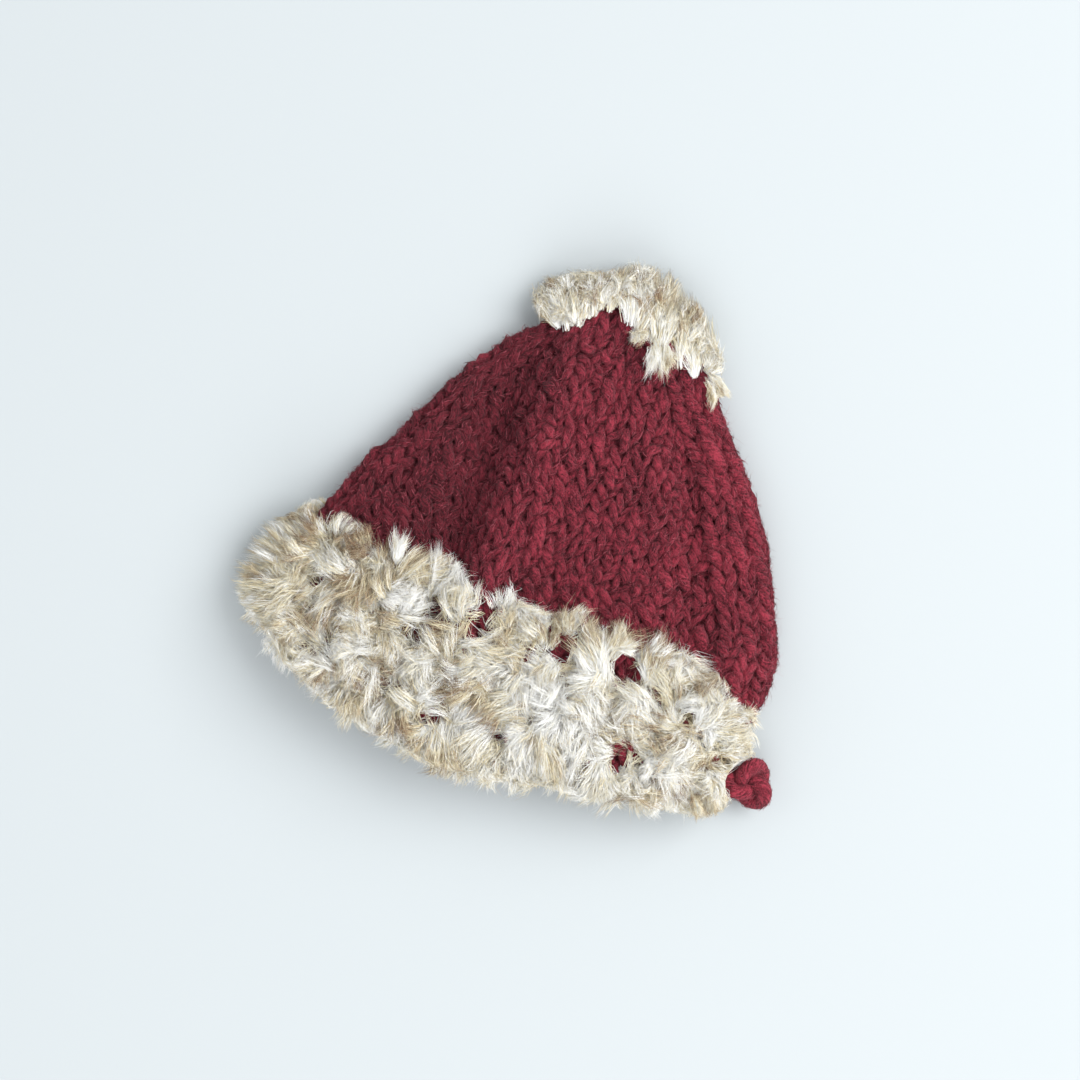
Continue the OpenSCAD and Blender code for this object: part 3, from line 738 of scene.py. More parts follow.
def tufts(base, nrm, head, length, rise, bend, tone, r, nlock=14, per=16, fan=0.32, root=3.0, width=0.135, floor=0.25, droop=0.0, spread=0.95, tip=None, haze=0.26, ragged=0.4, blunt=0.6, mottle=0.7):
    """Tufts of locks that leave a small root together and fan out. tone is the root's, tip the tip's."""
    n0 = len(base)
    idx = np.repeat(np.arange(n0), nlock)
    m = n0 * nlock
    root = np.broadcast_to(np.asarray(root, float), (n0,))[idx][:, None]
    fan = np.broadcast_to(np.asarray(fan, float), (n0,))[idx][:, None]
    droop = np.broadcast_to(np.asarray(droop, float), (n0,))[idx]
    if tip is None:
        tip = tone + 1.2
    side = np.cross(nrm, head)[idx]
    a, d = np.clip(r.normal(size=(m, 1)), -1.9, 1.9), r.normal(size=(m, 1))
    b = base[idx] + side * a * root * 0.75 + head[idx] * d * (root * 0.5 + ragged)
    ang = a * fan * 0.75 + r.normal(size=(m, 1)) * fan * 0.4
    h = project(head[idx] * np.cos(ang) + side * np.sin(ang), nrm[idx])
    ln = length[idx] * (0.7 + 0.38 * r.random(m)) * (1 - 0.06 * a[:, 0] ** 2).clip(0.6, 1)
    rs = rise[idx] * (0.5 + 0.9 * r.random(m))
    wob = r.normal(size=m) * 0.4
    L = ln[:, None]
    side = np.cross(nrm[idx], h)
    cv = bend[idx][:, None] + r.normal(size=(m, 1)) * 1.3
    up = nrm[idx]
    p0 = b - up * 1.2
    p1 = b + up * rs[:, None] + h * L * 0.32 - side * cv * 0.4
    p2 = b + up * rs[:, None] * (0.35 + 0.75 * r.random((m, 1))) + h * L * 0.97 + side * cv
    p2[:, 2] -= droop * ln
    F = m * per
    k = np.repeat(np.arange(m), per)
    wild = 1 + 1.5 * (r.random((F, 1)) < haze)
    g1, g2 = r.normal(size=(F, 1)) * wild, r.normal(size=(F, 1)) * wild
    sp = spread * np.minimum(1, root[k] / 2.2 + 0.15)
    u = np.linspace(0, 1, K + 1)[None, :, None]
    q0 = p0[k] + side[k] * g1 * sp * blunt / wild + h[k] * g2 * sp * 0.5 / wild
    q1 = p1[k] + side[k] * g1 * sp * 1.25 + up[k] * g2 * sp * 0.8
    q2 = p2[k] + side[k] * g1 * sp * 0.55 + up[k] * g2 * sp * 0.5 + h[k] * (r.random((F, 1)) - 0.72) * L[k] * 0.36
    path = (1 - u) ** 2 * q0[:, None] + 2 * u * (1 - u) * q1[:, None] + u * u * q2[:, None]
    path = path + r.normal(size=(F, K + 1, 3)) * np.array([0, 0.24, 0.55, 0.8, 1.1])[None, :, None] * wild[:, None] * np.minimum(1, 0.4 + root[k] / 3)[:, None]
    path[..., 2] = np.maximum(path[..., 2], floor + 0.5 * r.random((F, 1)))
    rad = width * np.array([0.9, 1.0, 0.9, 0.65])[None] * (0.7 + 0.6 * r.random((F, 1))) * np.where(wild > 1, 0.75, 1.0)
    way = np.array([0.0, 0.25, 0.62, 1.0])[None]
    tn = (tone[idx][k][:, None] * (1 - way) + tip[idx][k][:, None] * way) + wob[k][:, None] + r.normal(size=(F, 1)) * 1.3 + 0.3 * (wild - 1)
    tn = tn + mottle * patches((path[:, 1:] + path[:, :-1]) / 2)
    return path, rad, tn


GX, GY = FRONT[1][..., 0], FRONT[1][..., 1]


def on_front(x, y):
    """Where on the front half a point of the plan lies."""
    d = (GX[None] - np.asarray(x)[:, None, None]) ** 2 + (GY[None] - np.asarray(y)[:, None, None]) ** 2
    k = d.reshape(len(x), -1).argmin(1)
    t = T_LO + (T_HI - T_LO) * (k // NS) / (NT - 1)
    s = (k % NS) / (NS - 1)
    return sample(FRONT, s, t)


# chosen tufts, [x, y at the root, x, y at the tip, half width, tone at the root, tone at the tip]
CROWN_LOCKS = np.array([
    (-41.0, 87.7, -57.4, 100.0, 2.2, 0, 4), (-37.0, 91.0, -52.0, 113.0, 2.2, 0.5, 2.5), (-31.0, 97.0, -42.0, 120.5, 2.2, 1, 2), (-40.6, 89.4, -52.6, 107.6, 2.4, 1, 2.5), (-36.9, 89.4, -45.5, 117.0, 2.4, 0, 2), (-37.2, 92.4, -42.6, 92.8, 1.0, -1, 0),
    (-32.9, 94.8, -39.1, 114.4, 2.2, 1, 4), (-29.5, 99.4, -33.6, 118.9, 2.4, 1.5, 3.5), (-26.7, 102.7, -28.5, 119.5, 2.2, 0, 1.5), (-21.3, 105.0, -22.8, 123.5, 2.0, 1, 4),
    (-9.6, 103.6, -20.9, 129.1, 2.9, -1, 2), (-8.4, 104.7, -14.6, 131.7, 2.4, -1, 1.5), (-3.8, 98.7, -8.4, 129.6, 2.9, 1, 2.5), (2.4, 99.2, -1.4, 135.7, 2.7, 0.5, 4),
    (8.3, 95.3, 2.2, 124.6, 2.9, 1, 2), (5.6, 101.6, 11.4, 82.9, 2.0, 0.5, 0), (1.3, 101.9, -3.2, 97.3, 1.5, 1, 3), (12.5, 100.3, 14.6, 90.5, 1.7, 0, 1),
    (21.4, 95.6, 9.3, 125.4, 2.2, 0, 4), (21.6, 98.8, 15.4, 125.9, 2.2, 1, 4), (31.0, 91.7, 20.8, 120.8, 2.4, -1, 2), (34.1, 95.7, 27.1, 116.0, 2.4, 0.5, 3),
    (34.6, 95.9, 34.5, 108.5, 2.0, 1, 2), (35.3, 94.1, 44.7, 89.5, 1.2, 0, 1), (35.5, 96.2, 55.4, 89.3, 0.5, 0.5, 2), (36.1, 92.3, 45.0, 81.2, 0.8, 0.2, 1),
])
BRIM_LOCKS = np.array([
    (-49.5, -58.3, -53.9, -35.5, 0.8, -1.5, -0.5), (-46.0, -59.0, -37.2, -42.6, 0.6, -1, 0), (-67.6, -50.3, -73.6, -35.0, 1.0, -1, 0.5), (-65.5, -65.1, -57.6, -63.9, 2.9, -1, -1),
    (-57.1, -70.0, -53.8, -58.1, 2.9, -1, -1), (-111.3, -51.0, -117.3, -42.0, 2.0, 1, 2.5), (-134.0, -66.9, -140.4, -59.2, 2.4, 2, 4.5), (-130.9, -86.6, -142.3, -82.0, 2.2, 0, 4.5),
    (-127.0, -93.3, -136.4, -78.5, 2.0, 0, 3), (-116.5, -98.3, -117.5, -100.8, 1.0, -1, -1), (-115.7, -65.5, -123.0, -58.1, 2.0, -0.5, 1), (-91.6, -67.8, -96.9, -62.7, 2.9, -0.5, 0.5),
    (-78.8, -98.1, -70.9, -96.8, 3.4, -0.5, -0.5), (-83.0, -110.4, -89.0, -116.0, 2.0, 0.5, 1.5), (-77.8, -110.2, -82.9, -122.9, 0.8, 0, 1), (-70.8, -82.1, -78.7, -83.3, 2.4, -1, 0.5),
    (-120.8, -78.1, -116.2, -74.1, 2.4, 2.5, 3), (-131, -79, -147.5, -79.5, 1.8, 1, 3), (-126, -60, -142, -56.5, 2.0, 1.5, 3.5),
    (45.5, -63.2, 28.3, -40.0, 3.4, -1.5, -0.5), (42.0, -57.3, 20.2, -38.2, 2.4, -0.5, 4.5), (44.0, -52.2, 42.6, -34.0, 2.0, -0.5, 3.5), (43.8, -49.2, 53.1, -42.6, 0.4, -1, 1),
    (43.0, -47.4, 50.5, -42.7, 0.3, -1, 1), (65.8, -56.6, 59.2, -31.1, 2.0, -0.5, 5), (66.7, -56.3, 65.6, -32.6, 1.8, 0, 4.5), (74.7, -53.9, 75.3, -36.9, 0.7, 0.5, 1.5),
    (75.5, -53.6, 80.7, -39.8, 0.5, 0.5, 1.5), (96.1, -64.8, 94.7, -45.4, 2.2, -1, 0.5), (96.1, -63.7, 104.6, -46.5, 2.4, -0.5, 2.5), (86.4, -60.5, 92.0, -53.9, 2.0, -1, -0.5),
    (70.5, -65.1, 49.2, -59.5, 2.2, -1.5, 1.5), (46.4, -62.8, 25.9, -71.5, 2.1, -1.2, 0.5), (22.5, -98.1, 10.5, -103.2, 1.7, -1.2, -0.5), (24.4, -102.5, 17.0, -117.2, 2.0, -1.2, 1),
    (27.7, -98.0, 38.6, -118.6, 2.0, -0.5, 2.5), (30.3, -99.0, 47.6, -120.0, 1.8, 1.5, 3.5), (59.2, -100.4, 60.9, -121.7, 2.0, -0.5, 1), (60.5, -100.9, 68.0, -118.7, 1.8, 0, 2),
    (84.2, -87.7, 98.5, -101.5, 2.1, -1.2, -0.5), (83.4, -88.0, 81.2, -95.3, 1.2, -1, 0), (89.1, -86.7, 103.9, -99.3, 1.8, -1, 0.5), (121.2, -85.6, 122.9, -72.3, 0.8, -1, -0.5),
    (114.2, -86.5, 120.9, -82.6, 0.8, -1, 0), (112.0, -51.7, 115.0, -46.3, 2.2, 1, 3), (102.6, -64.1, 119.5, -56.9, 2.4, 1, 2.5), (109.9, -86.2, 124.4, -103.1, 1.5, 1, 2.5),
    (105.6, -98.5, 112.3, -109.3, 0.7, 1.5, 3), (19.2, -48.1, 16.8, -37.6, 1.8, 0.5, 4), (40.0, -82.3, 28.8, -80.7, 1.5, -1, -0.5),
])
# where the fur parts and shows the wool, [x, y, radius]
BARE = [(46, -50, 3.6), (52, -52.5, 5.0), (59, -55, 4.4), (23, -58, 3.6), (73, -59, 3.2), (85, -61, 3.2), (99, -66, 2.8), (67, -90, 3.4), (69, -96, 4.0), (66, -102, 3.4), (55, -103.5, 2.6),
        (113, -79, 4.0), (118, -77, 3.8), (-120, -92, 3.3),
        (-42, -64, 4.2), (-43, -73, 3.2), (-46, -79, 3.2), (-19, -64, 3.8), (-21, -112, 3), (100, -70, 2)]


# how far the fur reaches in plan
BRIM_OUTLINE = [(-110, 60), (-113, -20), (-117, -33), (-119.7, -38.4), (-123.7, -44.3), (-129.6, -51.7), (-137.2, -56.5), (-143.5, -60.8), (-143.4, -67.2), (-141.4, -74.4), (-146.6, -79.8), (-145.8, -86.9), (-140.1, -92.6),
                (-133.2, -97.7), (-126.7, -100.3), (-119.7, -101.6), (-107.3, -108.1), (-97.9, -116.5), (-82.3, -121.6), (-70.9, -127.0), (-53.4, -130.3), (-37.5, -129.9), (-19.7, -132.6), (-1.1, -131.1),
                (18.6, -127.0), (42.3, -119.7), (54.1, -122.2), (68.9, -119.1), (78.5, -110.2), (92.3, -111.3), (105.0, -109.6), (117.4, -107.1), (127.2, -98.6), (131.5, -92.5), (132.8, -86.6), (131.6, -77.5),
                (130.9, -67.0), (126.7, -59.7), (118.7, -50.8), (108.4, -44.4), (97.3, -39.5), (92, -34), (90, 60)]
BRIM_TOP_LINE = [(126.9, -59.2), (116.7, -49.9), (110.7, -45.6), (99.3, -43.6), (89.8, -46.0), (80.5, -39.0), (69.2, -32.2), (62.7, -31.8), (60.4, -41.2), (57.1, -45.7),
                 (50.0, -41.4), (42.5, -36.2), (32.2, -34.2), (22.4, -35.8), (14.8, -42.7), (5.5, -45.6), (-4.4, -47.1), (-13.3, -40.9), (-18.0, -39.8), (-28.6, -39.5),
                 (-37.4, -41.2), (-45.6, -36.7), (-51.2, -36.0), (-60.4, -38.9), (-72.2, -36.0), (-82.6, -36.2), (-91.9, -39.1), (-102.9, -37.9), (-112.6, -37.3),
                 (-117.6, -37.9)]
CROWN_OUTLINE = [(-50, 60), (-49.5, 84), (-53.2, 90.2), (-56.9, 95.1), (-58.3, 100.9), (-58.2, 105.7), (-55.6, 108.4), (-50.9, 109.9), (-47.1, 113.6), (-41.7, 115.9), (-32.8, 120.2), (-26.8, 124.9), (-20.3, 130.9),
                 (-11.5, 133.0), (-1.5, 134.6), (4.9, 132.0), (12.1, 130.2), (17.8, 126.8), (24.0, 119.8), (25.4, 114.0), (32.3, 107.8), (38.8, 102.6), (44.0, 95.2), (47.8, 88.8), (44.3, 84.6), (44, 60)]


class Outline:
    """Distance outside a closed line in plan, read off a grid."""

    def __init__(self, poly, step=1.5):
        a = np.array(poly, float)
        b = np.roll(a, -1, 0)
        lo, hi = a.min(0) - 40, a.max(0) + 40
        self.lo, self.step = lo, step
        gx, gy = np.arange(lo[0], hi[0], step), np.arange(lo[1], hi[1], step)
        x, y = np.meshgrid(gx, gy, indexing="ij")
        p = np.stack([x, y], -1)[..., None, :]
        e = b - a
        u = np.clip(((p - a) * e).sum(-1) / (e * e).sum(-1), 0, 1)
        d = np.linalg.norm(p - a - u[..., None] * e, axis=-1).min(-1)
        cross = ((a[:, 1] > y[..., None]) != (b[:, 1] > y[..., None])) & (x[..., None] < e[:, 0] * (y[..., None] - a[:, 1]) / (e[:, 1] + 1e-12) + a[:, 0])
        self.f = np.where(cross.sum(-1) % 2 == 1, -d, d)
        self.g = np.stack(np.gradient(self.f, step), -1)

    def press(self, path, r, inset=2.0, hold=(0.3, 0.9)):
        """Moves the parts of the fibres that lie outside back towards the line."""
        q = (path[..., :2] - self.lo) / self.step
        i = np.clip(q.astype(int), 0, np.array(self.f.shape) - 2)
        w = np.clip(q - i, 0, 1)

        def read(A):
            w0, w1 = (w[..., 0], w[..., 1]) if A.ndim == 2 else (w[..., :1], w[..., 1:])
            return (A[i[..., 0], i[..., 1]] * (1 - w0) + A[i[..., 0] + 1, i[..., 1]] * w0) * (1 - w1) + (A[i[..., 0], i[..., 1] + 1] * (1 - w0) + A[i[..., 0] + 1, i[..., 1] + 1] * w0) * w1
        over = np.maximum(0, read(self.f) + inset)
        h = hold[0] + (hold[1] - hold[0]) * r.random((len(path), 1))
        out = path.copy()
        out[..., :2] -= unit(read(self.g)) * (over * h)[..., None]
        return out


brim_line, crown_line = Outline(BRIM_OUTLINE), Outline(CROWN_OUTLINE)
pile_line = Outline(BRIM_OUTLINE[3:-2] + BRIM_TOP_LINE)


def part_hair(path, strength=1.0, line=None):
    """Combs fibres off the bare spots and round the knot."""
    q = path.copy()
    for bx, by, br in BARE:
        d = q[:, 1:, :2] - np.array([bx, by])
        dist = np.linalg.norm(d, axis=2, keepdims=True) + 1e-6
        want = br * 0.42 + dist * 0.76
        q[:, 1:, :2] += np.where(dist < br * 1.4, d / dist * np.maximum(0, want - dist), 0) * strength
    d = q[..., :2] - KC[:2]
    dist = np.linalg.norm(d, axis=2, keepdims=True) + 1e-6
    near = np.where(q[..., 2:] < 30, np.maximum(0, 12.6 - dist), 0)
    q[..., :2] += d / dist * near
    q = brim_line.press(q, np.random.default_rng(len(q)))
    return q if line is None else line.press(q, np.random.default_rng(len(q) + 1), 0.0, (0.35, 0.85))


def brim_top(s):
    """Upper limit of the pile, which drops towards the right end."""
    return band_f(1 - s) * (1 - 0.2 * ease((0.1 - s) / 0.1)) - 0.04


def brim_front():
    r = np.random.default_rng(31)
    rows, cols = 10, 27
    gs = (np.arange(cols)[None] + 0.5 * (np.arange(rows)[:, None] % 2) + 0.25 + 0.46 * (r.random((rows, cols)) - 0.5) * 2) / (cols + 0.5)
    gv = (np.arange(rows)[:, None] + 0.5 + 0.46 * (r.random((rows, cols)) - 0.5) * 2) / rows
    s, v = np.clip(gs.ravel(), 0.004, 0.996), np.clip(gv.ravel(), 0, 1)
    t = -0.03 + (brim_top(s) + 0.03) * v
    p, nrm = sample(FRONT, s, t)
    base = p + nrm * 3.0
    keep = np.ones(len(s), bool)
    for bx, by, br in BARE:
        keep &= ((base[:, 0] - bx) ** 2 + (base[:, 1] - by) ** 2) > br * br
    keep &= base[:, 0] < np.interp(base[:, 1], [-70, -64, -57, -48, -40, -36], [134, 127, 119, 113, 98, 90])
    s, v, base, nrm = s[keep], v[keep], base[keep], nrm[keep]
    n = len(s)
    ang = r.random(n) * 2 * np.pi
    head = np.stack([np.cos(ang), np.sin(ang), np.zeros(n)], 1)
    head[:, 1] += np.where(v > 0.72, (v - 0.72) * 6.5, 0) - np.where(v < 0.35, (0.35 - v) * 6.0, 0)
    head[:, 0] += -np.where(s > 0.86, (s - 0.86) * 12, 0) + np.where((s < 0.07) & (v < 0.45), (0.07 - s) * 6, 0) - np.where((s < 0.07) & (v > 0.6), 0.7, 0)
    for bx, by, br in BARE:
        d = base[:, :2] - np.array([bx, by])
        dist = np.linalg.norm(d, axis=1)
        near = np.clip(1 - (dist - br) / 14, 0, 1) * (dist > 0)
        head[:, :2] += 1.6 * near[:, None] * d / (dist[:, None] + 1e-6)
    head = project(head, nrm)
    length = 15 + 11 * r.random(n)
    length = np.where(v > 0.85, length * 0.72, length)
    length = np.where(v < 0.12, length * 0.66, length)
    length = np.where(s < 0.09, length * 0.75, length)
    rise = 3.5 + 9 * r.random(n)
    # the pile's tones are set by x: whiter round x = 40 and x = -10, darker towards the left end round x = -105 and
    # -118
    white = bell(base[:, 0] - 40, 30) * 1.5 - bell(base[:, 0] + 118, 34) * 0.8 + bell(base[:, 0] + 10, 30) * 0.4
    tone = r.choice([-1.2, -0.4, 0.4, 1.2, 2.0], n, p=[0.24, 0.24, 0.2, 0.18, 0.14])
    tip = tone + r.choice([0.0, 1.0, 2.6, 4.8], n, p=[0.34, 0.24, 0.22, 0.2])
    left_end_darker = bell(base[:, 0] + 105, 50)
    tone, tip = tone - white * 0.9 + 0.5 * left_end_darker, tip - white * 0.9 + 1.1 * left_end_darker
    sets = [tufts(base, nrm, head, length, rise, r.normal(size=n) * 3.5, tone, r, nlock=max(6, int(11 * DENS)), tip=tip)]
    # chosen tufts on top
    b = BRIM_LOCKS
    p, m = on_front(b[:, 0], b[:, 1])
    d = b[:, 2:4] - b[:, :2]
    ln = np.linalg.norm(d, axis=1)
    wid = b[:, 4]
    keep = np.zeros(len(b), bool) if False else np.ones(len(b), bool)
    big = ln < 9
    ln = np.where(big, ln + 5, ln)
    sets.append(tufts(p + m * (6.5 + 1.5 * r.random((len(b), 1))), m, project(np.concatenate([d, np.zeros((len(b), 1))], 1), m), ln * 1.06, 5 + 3 * r.random(len(b)), r.normal(size=len(b)) * 1.2,
                      b[:, 5] - 0.3, r, nlock=max(6, int(15 * DENS)), fan=np.clip(wid / 9, 0.03, 0.34), root=wid * 0.85, tip=b[:, 6] - 0.2))
    # short fluff below
    n2 = int(1000 * DENS)
    s2, v2 = r.random(n2), r.random(n2)
    t2 = -0.03 + (brim_top(s2) + 0.01) * v2
    p2, m2 = sample(FRONT, s2, t2)
    b2 = p2 + m2 * 3.0
    ok = np.ones(n2, bool)
    for bx, by, br in BARE:
        ok &= ((b2[:, 0] - bx) ** 2 + (b2[:, 1] - by) ** 2) > (br + 1) ** 2
    b2, m2 = b2[ok], m2[ok]
    n2 = len(b2)
    h2 = project(r.normal(size=(n2, 3)), m2)
    sets.append(locks(b2, m2, h2, 8 + 5 * r.random(n2), 3 + 3 * r.random(n2), 9, 1.6, 1.8 + r.normal(size=n2) * 0.9, r, width=0.22))
    sets = [(part_hair(q[0], line=None if i == 1 else pile_line), q[1], q[2]) for i, q in enumerate(sets)]
    return clear(*(np.concatenate([q[i] for q in sets]) for i in range(3)))


def clear(path, rad, tn, seed=3):
    """Leaves out most of the fibres that still cross a bare spot."""
    r = np.random.default_rng(seed)
    hit = np.zeros(len(path), bool)
    for bx, by, br in BARE:
        d = np.linalg.norm(path[:, 1:, :2] - np.array([bx, by]), axis=2)
        hit |= d.min(1) < br * 0.72
    keep = ~hit | (r.random(len(path)) < 0.07)
    return path[keep], rad[keep], tn[keep]


def wisps(count, seed):
    """Thin pointed locks that reach past the others at the mouth edge."""
    r = np.random.default_rng(seed)
    s = 0.06 + 0.92 * r.random(count)
    p, nrm = sample(FRONT, s, -0.02 + 0.05 * r.random(count))
    base = p + nrm * (2 + 2 * r.random((count, 1)))
    head = unit(np.stack([0.5 * r.normal(size=count) + (0.5 - s) * 0.7, -np.ones(count), -0.15 - 0.3 * r.random(count)], 1))
    t0 = r.choice([-0.6, 0.4, 1.6], count, p=[0.4, 0.35, 0.25])
    path, rad, tn = tufts(base, nrm, project(head, nrm), 13 + 9 * r.random(count), 2 + 3 * r.random(count), r.normal(size=count) * 4.5, t0, r, nlock=max(3, int(6 * DENS)), per=10,
                          root=1.2, fan=0.16, droop=0.2, tip=t0 + r.choice([0.2, 1.6, 3.2], count), haze=0.3)
    return brim_line.press(path, r, -5.0, (0.3, 0.8)), rad, tn


def rim(count, seed, along, per=10):
    """Locks that stand out past an edge: along gives base, normal and heading."""
    r = np.random.default_rng(seed)
    n = int(count * DENS)
    base, nrm, head, length, rise, tone, droop = along(r, n)
    path, rad, tn = locks(base, nrm, head, length, rise, per, 1.4, tone - 0.4, r, width=0.2, droop=droop)
    return part_hair(path, line=pile_line), rad, tn


def mouth_edge(r, n):
    s = r.random(n)
    t = -0.045 + 0.03 * r.random(n)
    p, nrm = sample(FRONT, s, t)
    base = p + nrm * (3.5 - 7 * r.random((n, 1)))
    head = np.stack([0.35 * r.normal(size=n) + (0.5 - s) * 0.5, -np.ones(n), -0.1 - 0.45 * r.random(n)], 1)
    return base, nrm, unit(head), 6 + 6 * r.random(n), 1 + 4 * r.random(n), r.choice([-0.2, 0.6, 1.5, 2.5, 3.5], n) + r.normal(size=n) * 0.4, 0.25


def left_end(r, n):
    v = r.random(n)
    t = 0.0 + 0.23 * v
    up = r.random(n)
    pf, nf = sample(FRONT, 1 - 0.05 * up, t)
    pb, nb = sample(BACK, 1 - 0.05 * (1 - up), t)
    side = (r.random(n) < 0.65)[:, None]
    p, nrm = np.where(side, pf, pb), np.where(side, nf, nb)
    base = p + nrm * 3.0
    head = np.stack([-np.ones(n), (v - 0.5) * 1.5 + 0.35 * r.normal(size=n), 0.25 * r.normal(size=n) - 0.1], 1)
    bulge = np.sin(np.pi * np.clip(v, 0.02, 0.98)) ** 0.5
    return base, unit(nrm + np.array([-0.5, 0, 0.3])), unit(head), (11 + 12 * r.random(n)) * (0.45 + 0.55 * bulge), 2 + 4 * r.random(n), r.choice([0.2, 1.0, 1.8, 2.6, 3.6, 4.4], n) + r.normal(size=n) * 0.4, 0.15


def right_end(r, n):
    v = r.random(n)
    t = 0.01 + 0.13 * v
    p, nrm = sample(FRONT, 0.004 + 0.035 * r.random(n), t)
    base = p + nrm * 3.0
    keep = (np.abs(base[:, 1] + 83) > 13)
    head = np.stack([np.where(keep, 1.0, 0.4), (v - 0.5) * 1.6 + 0.4 * r.normal(size=n), 0.25 * r.normal(size=n) + 0.1], 1)
    return base, nrm, unit(head), 4 + 5 * r.random(n), 2 + 3 * r.random(n), r.choice([0.3, 1.2, 2.2, 3.2, 4.2], n) + r.normal(size=n) * 0.4, 0.1


def brim_under(r, n):
    s, v = r.random(n), r.random(n)
    t = -0.03 + 0.33 * v
    p, nrm = sample(BACK, s, t)
    base = p + nrm * 3.2
    ang = r.random(n) * 2 * np.pi
    head = np.stack([np.cos(ang) + (0.5 - s) * 1.5, np.sin(ang) + (v - 0.5) * 2.5, np.zeros(n)], 1)
    return base, nrm, unit(head), 10 + 8 * r.random(n), 0.5 + 1.5 * r.random(n), r.choice([1.5, 2.5, 3.5, 4.5], n) - 1.0 + r.normal(size=n) * 0.6, 0.0


path, rad, tn = brim_front()
fibre_pieces("brim_pile", path, rad, fur_mats, index_of(tn), "brim_fur_front")
sets = [rim(1000, 41, mouth_edge), rim(620, 42, left_end), rim(200, 43, right_end), wisps(int(90 * DENS), 46)]
path, rad, tn = clear(*(np.concatenate([q[i] for q in sets]) for i in range(3)))
cut = np.quantile(path[:, 0, 0], [1 / 3, 2 / 3])
part = np.searchsorted(cut, path[:, 0, 0])
for i in range(3):
    m = part == i
    ob = fibres("brim_fringe_%d" % (i + 1), path[m], rad[m], fur_mats, index_of(tn[m]))
    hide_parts("brim_fur_front")
path, rad, tn = rim(2600, 44, brim_under, per=9)
fibre_pieces("brim_pile_under", path, rad, fur_mats, index_of(tn), "brim_fur_back")


def crown(seed):
    r = np.random.default_rng(seed)
    c = CROWN_LOCKS
    out = []
    for layer in range(3):
        jit = r.normal(size=(len(c), 2)) * (0, 2.0, 3.5)[layer]
        root, end = c[:, :2] + jit * [1, 0.3], c[:, 2:4] + jit * 1.2
        hang = end[:, 1] < root[:, 1]
        if layer:
            root, end, wid = root[~hang], end[~hang], c[~hang, 4] * 0.95
            t0, t1 = c[~hang, 5] * 0.7 + 0.8, c[~hang, 6] * 0.8 + 0.5
            hang = np.zeros(len(root), bool)
        else:
            wid, t0, t1 = c[:, 4], c[:, 5] * 0.6, c[:, 6] * 0.8 + r.choice([-0.6, 0, 1.2], len(c))
        n = len(root)
        x, y = root.T
        arch = np.clip(1 - (x / 47.0) ** 2, 0.05, 1) ** 0.5
        if layer == 0:
            z = np.minimum(14 + 11 * arch, on_front(x, y)[0][:, 2] + 5.5)
        elif layer == 1:
            z = 11 + 6 * arch
            root = root + [0, 5.0]
        else:
            z = 5 + 2 * arch
            root = root + [0, 8.0]
        base = np.stack([root[:, 0], root[:, 1], z], 1)
        up = unit(np.stack([x / 47 * 0.35, np.full(n, 0.3), np.ones(n)], 1))
        d = end - root
        ln = np.linalg.norm(d, axis=1)
        head = project(np.concatenate([d, np.where(hang, 0, -0.02 * ln)[:, None]], 1), up)
        if layer == 2:
            up = np.stack([np.zeros(n), np.full(n, 0.2), np.ones(n)], 1)
            head = unit(np.concatenate([d, 0.1 * ln[:, None] * r.normal(size=(n, 1))], 1))
        rise = np.where(hang, 1.5, 4.5) * (1, 0.9, 0.3)[layer]
        drop = np.where(hang, -0.05, (0.22, 0.15, 0.0)[layer])
        out.append(tufts(base + head * (wid[:, None] * 0.4 + 2.4), up, head, ln * 1.05 - np.where(hang, 0.5, 2.2), rise + 1.5 * r.random(n), r.normal(size=n) * 1.3, t0, r, nlock=max(6, int((20, 14, 10)[layer] * DENS)), per=17,
                         root=wid * 0.6, fan=np.clip(wid / 9, 0.05, 0.3), droop=drop, floor=0.8, tip=t1, haze=0.36, ragged=1.8, blunt=1.1, mottle=1.3))
    # loose fluff over the locks
    n = 70
    k = r.choice(np.where(c[:, 3] > c[:, 1] + 4)[0], n)
    f = 0.34 + 0.5 * r.random((n, 1))
    pos = c[k, :2] * (1 - f) + c[k, 2:4] * f + r.normal(size=(n, 2)) * 1.5
    arch = np.clip(1 - (pos[:, 0] / 50.0) ** 2, 0.05, 1) ** 0.5
    base = np.stack([pos[:, 0], pos[:, 1], (14 + 12 * arch) * (1 - 0.4 * f[:, 0]) + 2.5], 1)
    up = unit(np.stack([pos[:, 0] / 47 * 0.3, 0.3 + 0.5 * f[:, 0], np.ones(n)], 1))
    d = c[k, 2:4] - c[k, :2]
    turn = r.normal(size=n) * 0.5
    d = np.stack([d[:, 0] * np.cos(turn) - d[:, 1] * np.sin(turn), d[:, 0] * np.sin(turn) + d[:, 1] * np.cos(turn)], 1)
    out.append(tufts(base, up, project(np.concatenate([d, np.zeros((n, 1))], 1), up), 6 + 5 * r.random(n), 1.5 + 2.5 * r.random(n), r.normal(size=n) * 2.0,
                     r.choice([-0.6, 0.2, 1.0, 2.4, 4.6], n, p=[0.26, 0.26, 0.2, 0.14, 0.14]), r, nlock=max(3, int(6 * DENS)), per=9, root=1.6, fan=0.5, droop=0.15, floor=0.8, haze=0.5, ragged=1.0))
    path, rad, tn = (np.concatenate([q[i] for q in out]) for i in range(3))
    return crown_line.press(path, r, 1.0, (0.5, 0.9)), rad, tn


path, rad, tn = crown(61)
fibre_pieces("crown_pile", path, rad, fur_mats, index_of(tn), "crown_fur")

# ---------------------------------------------------------------- stray wool fibres on the knit


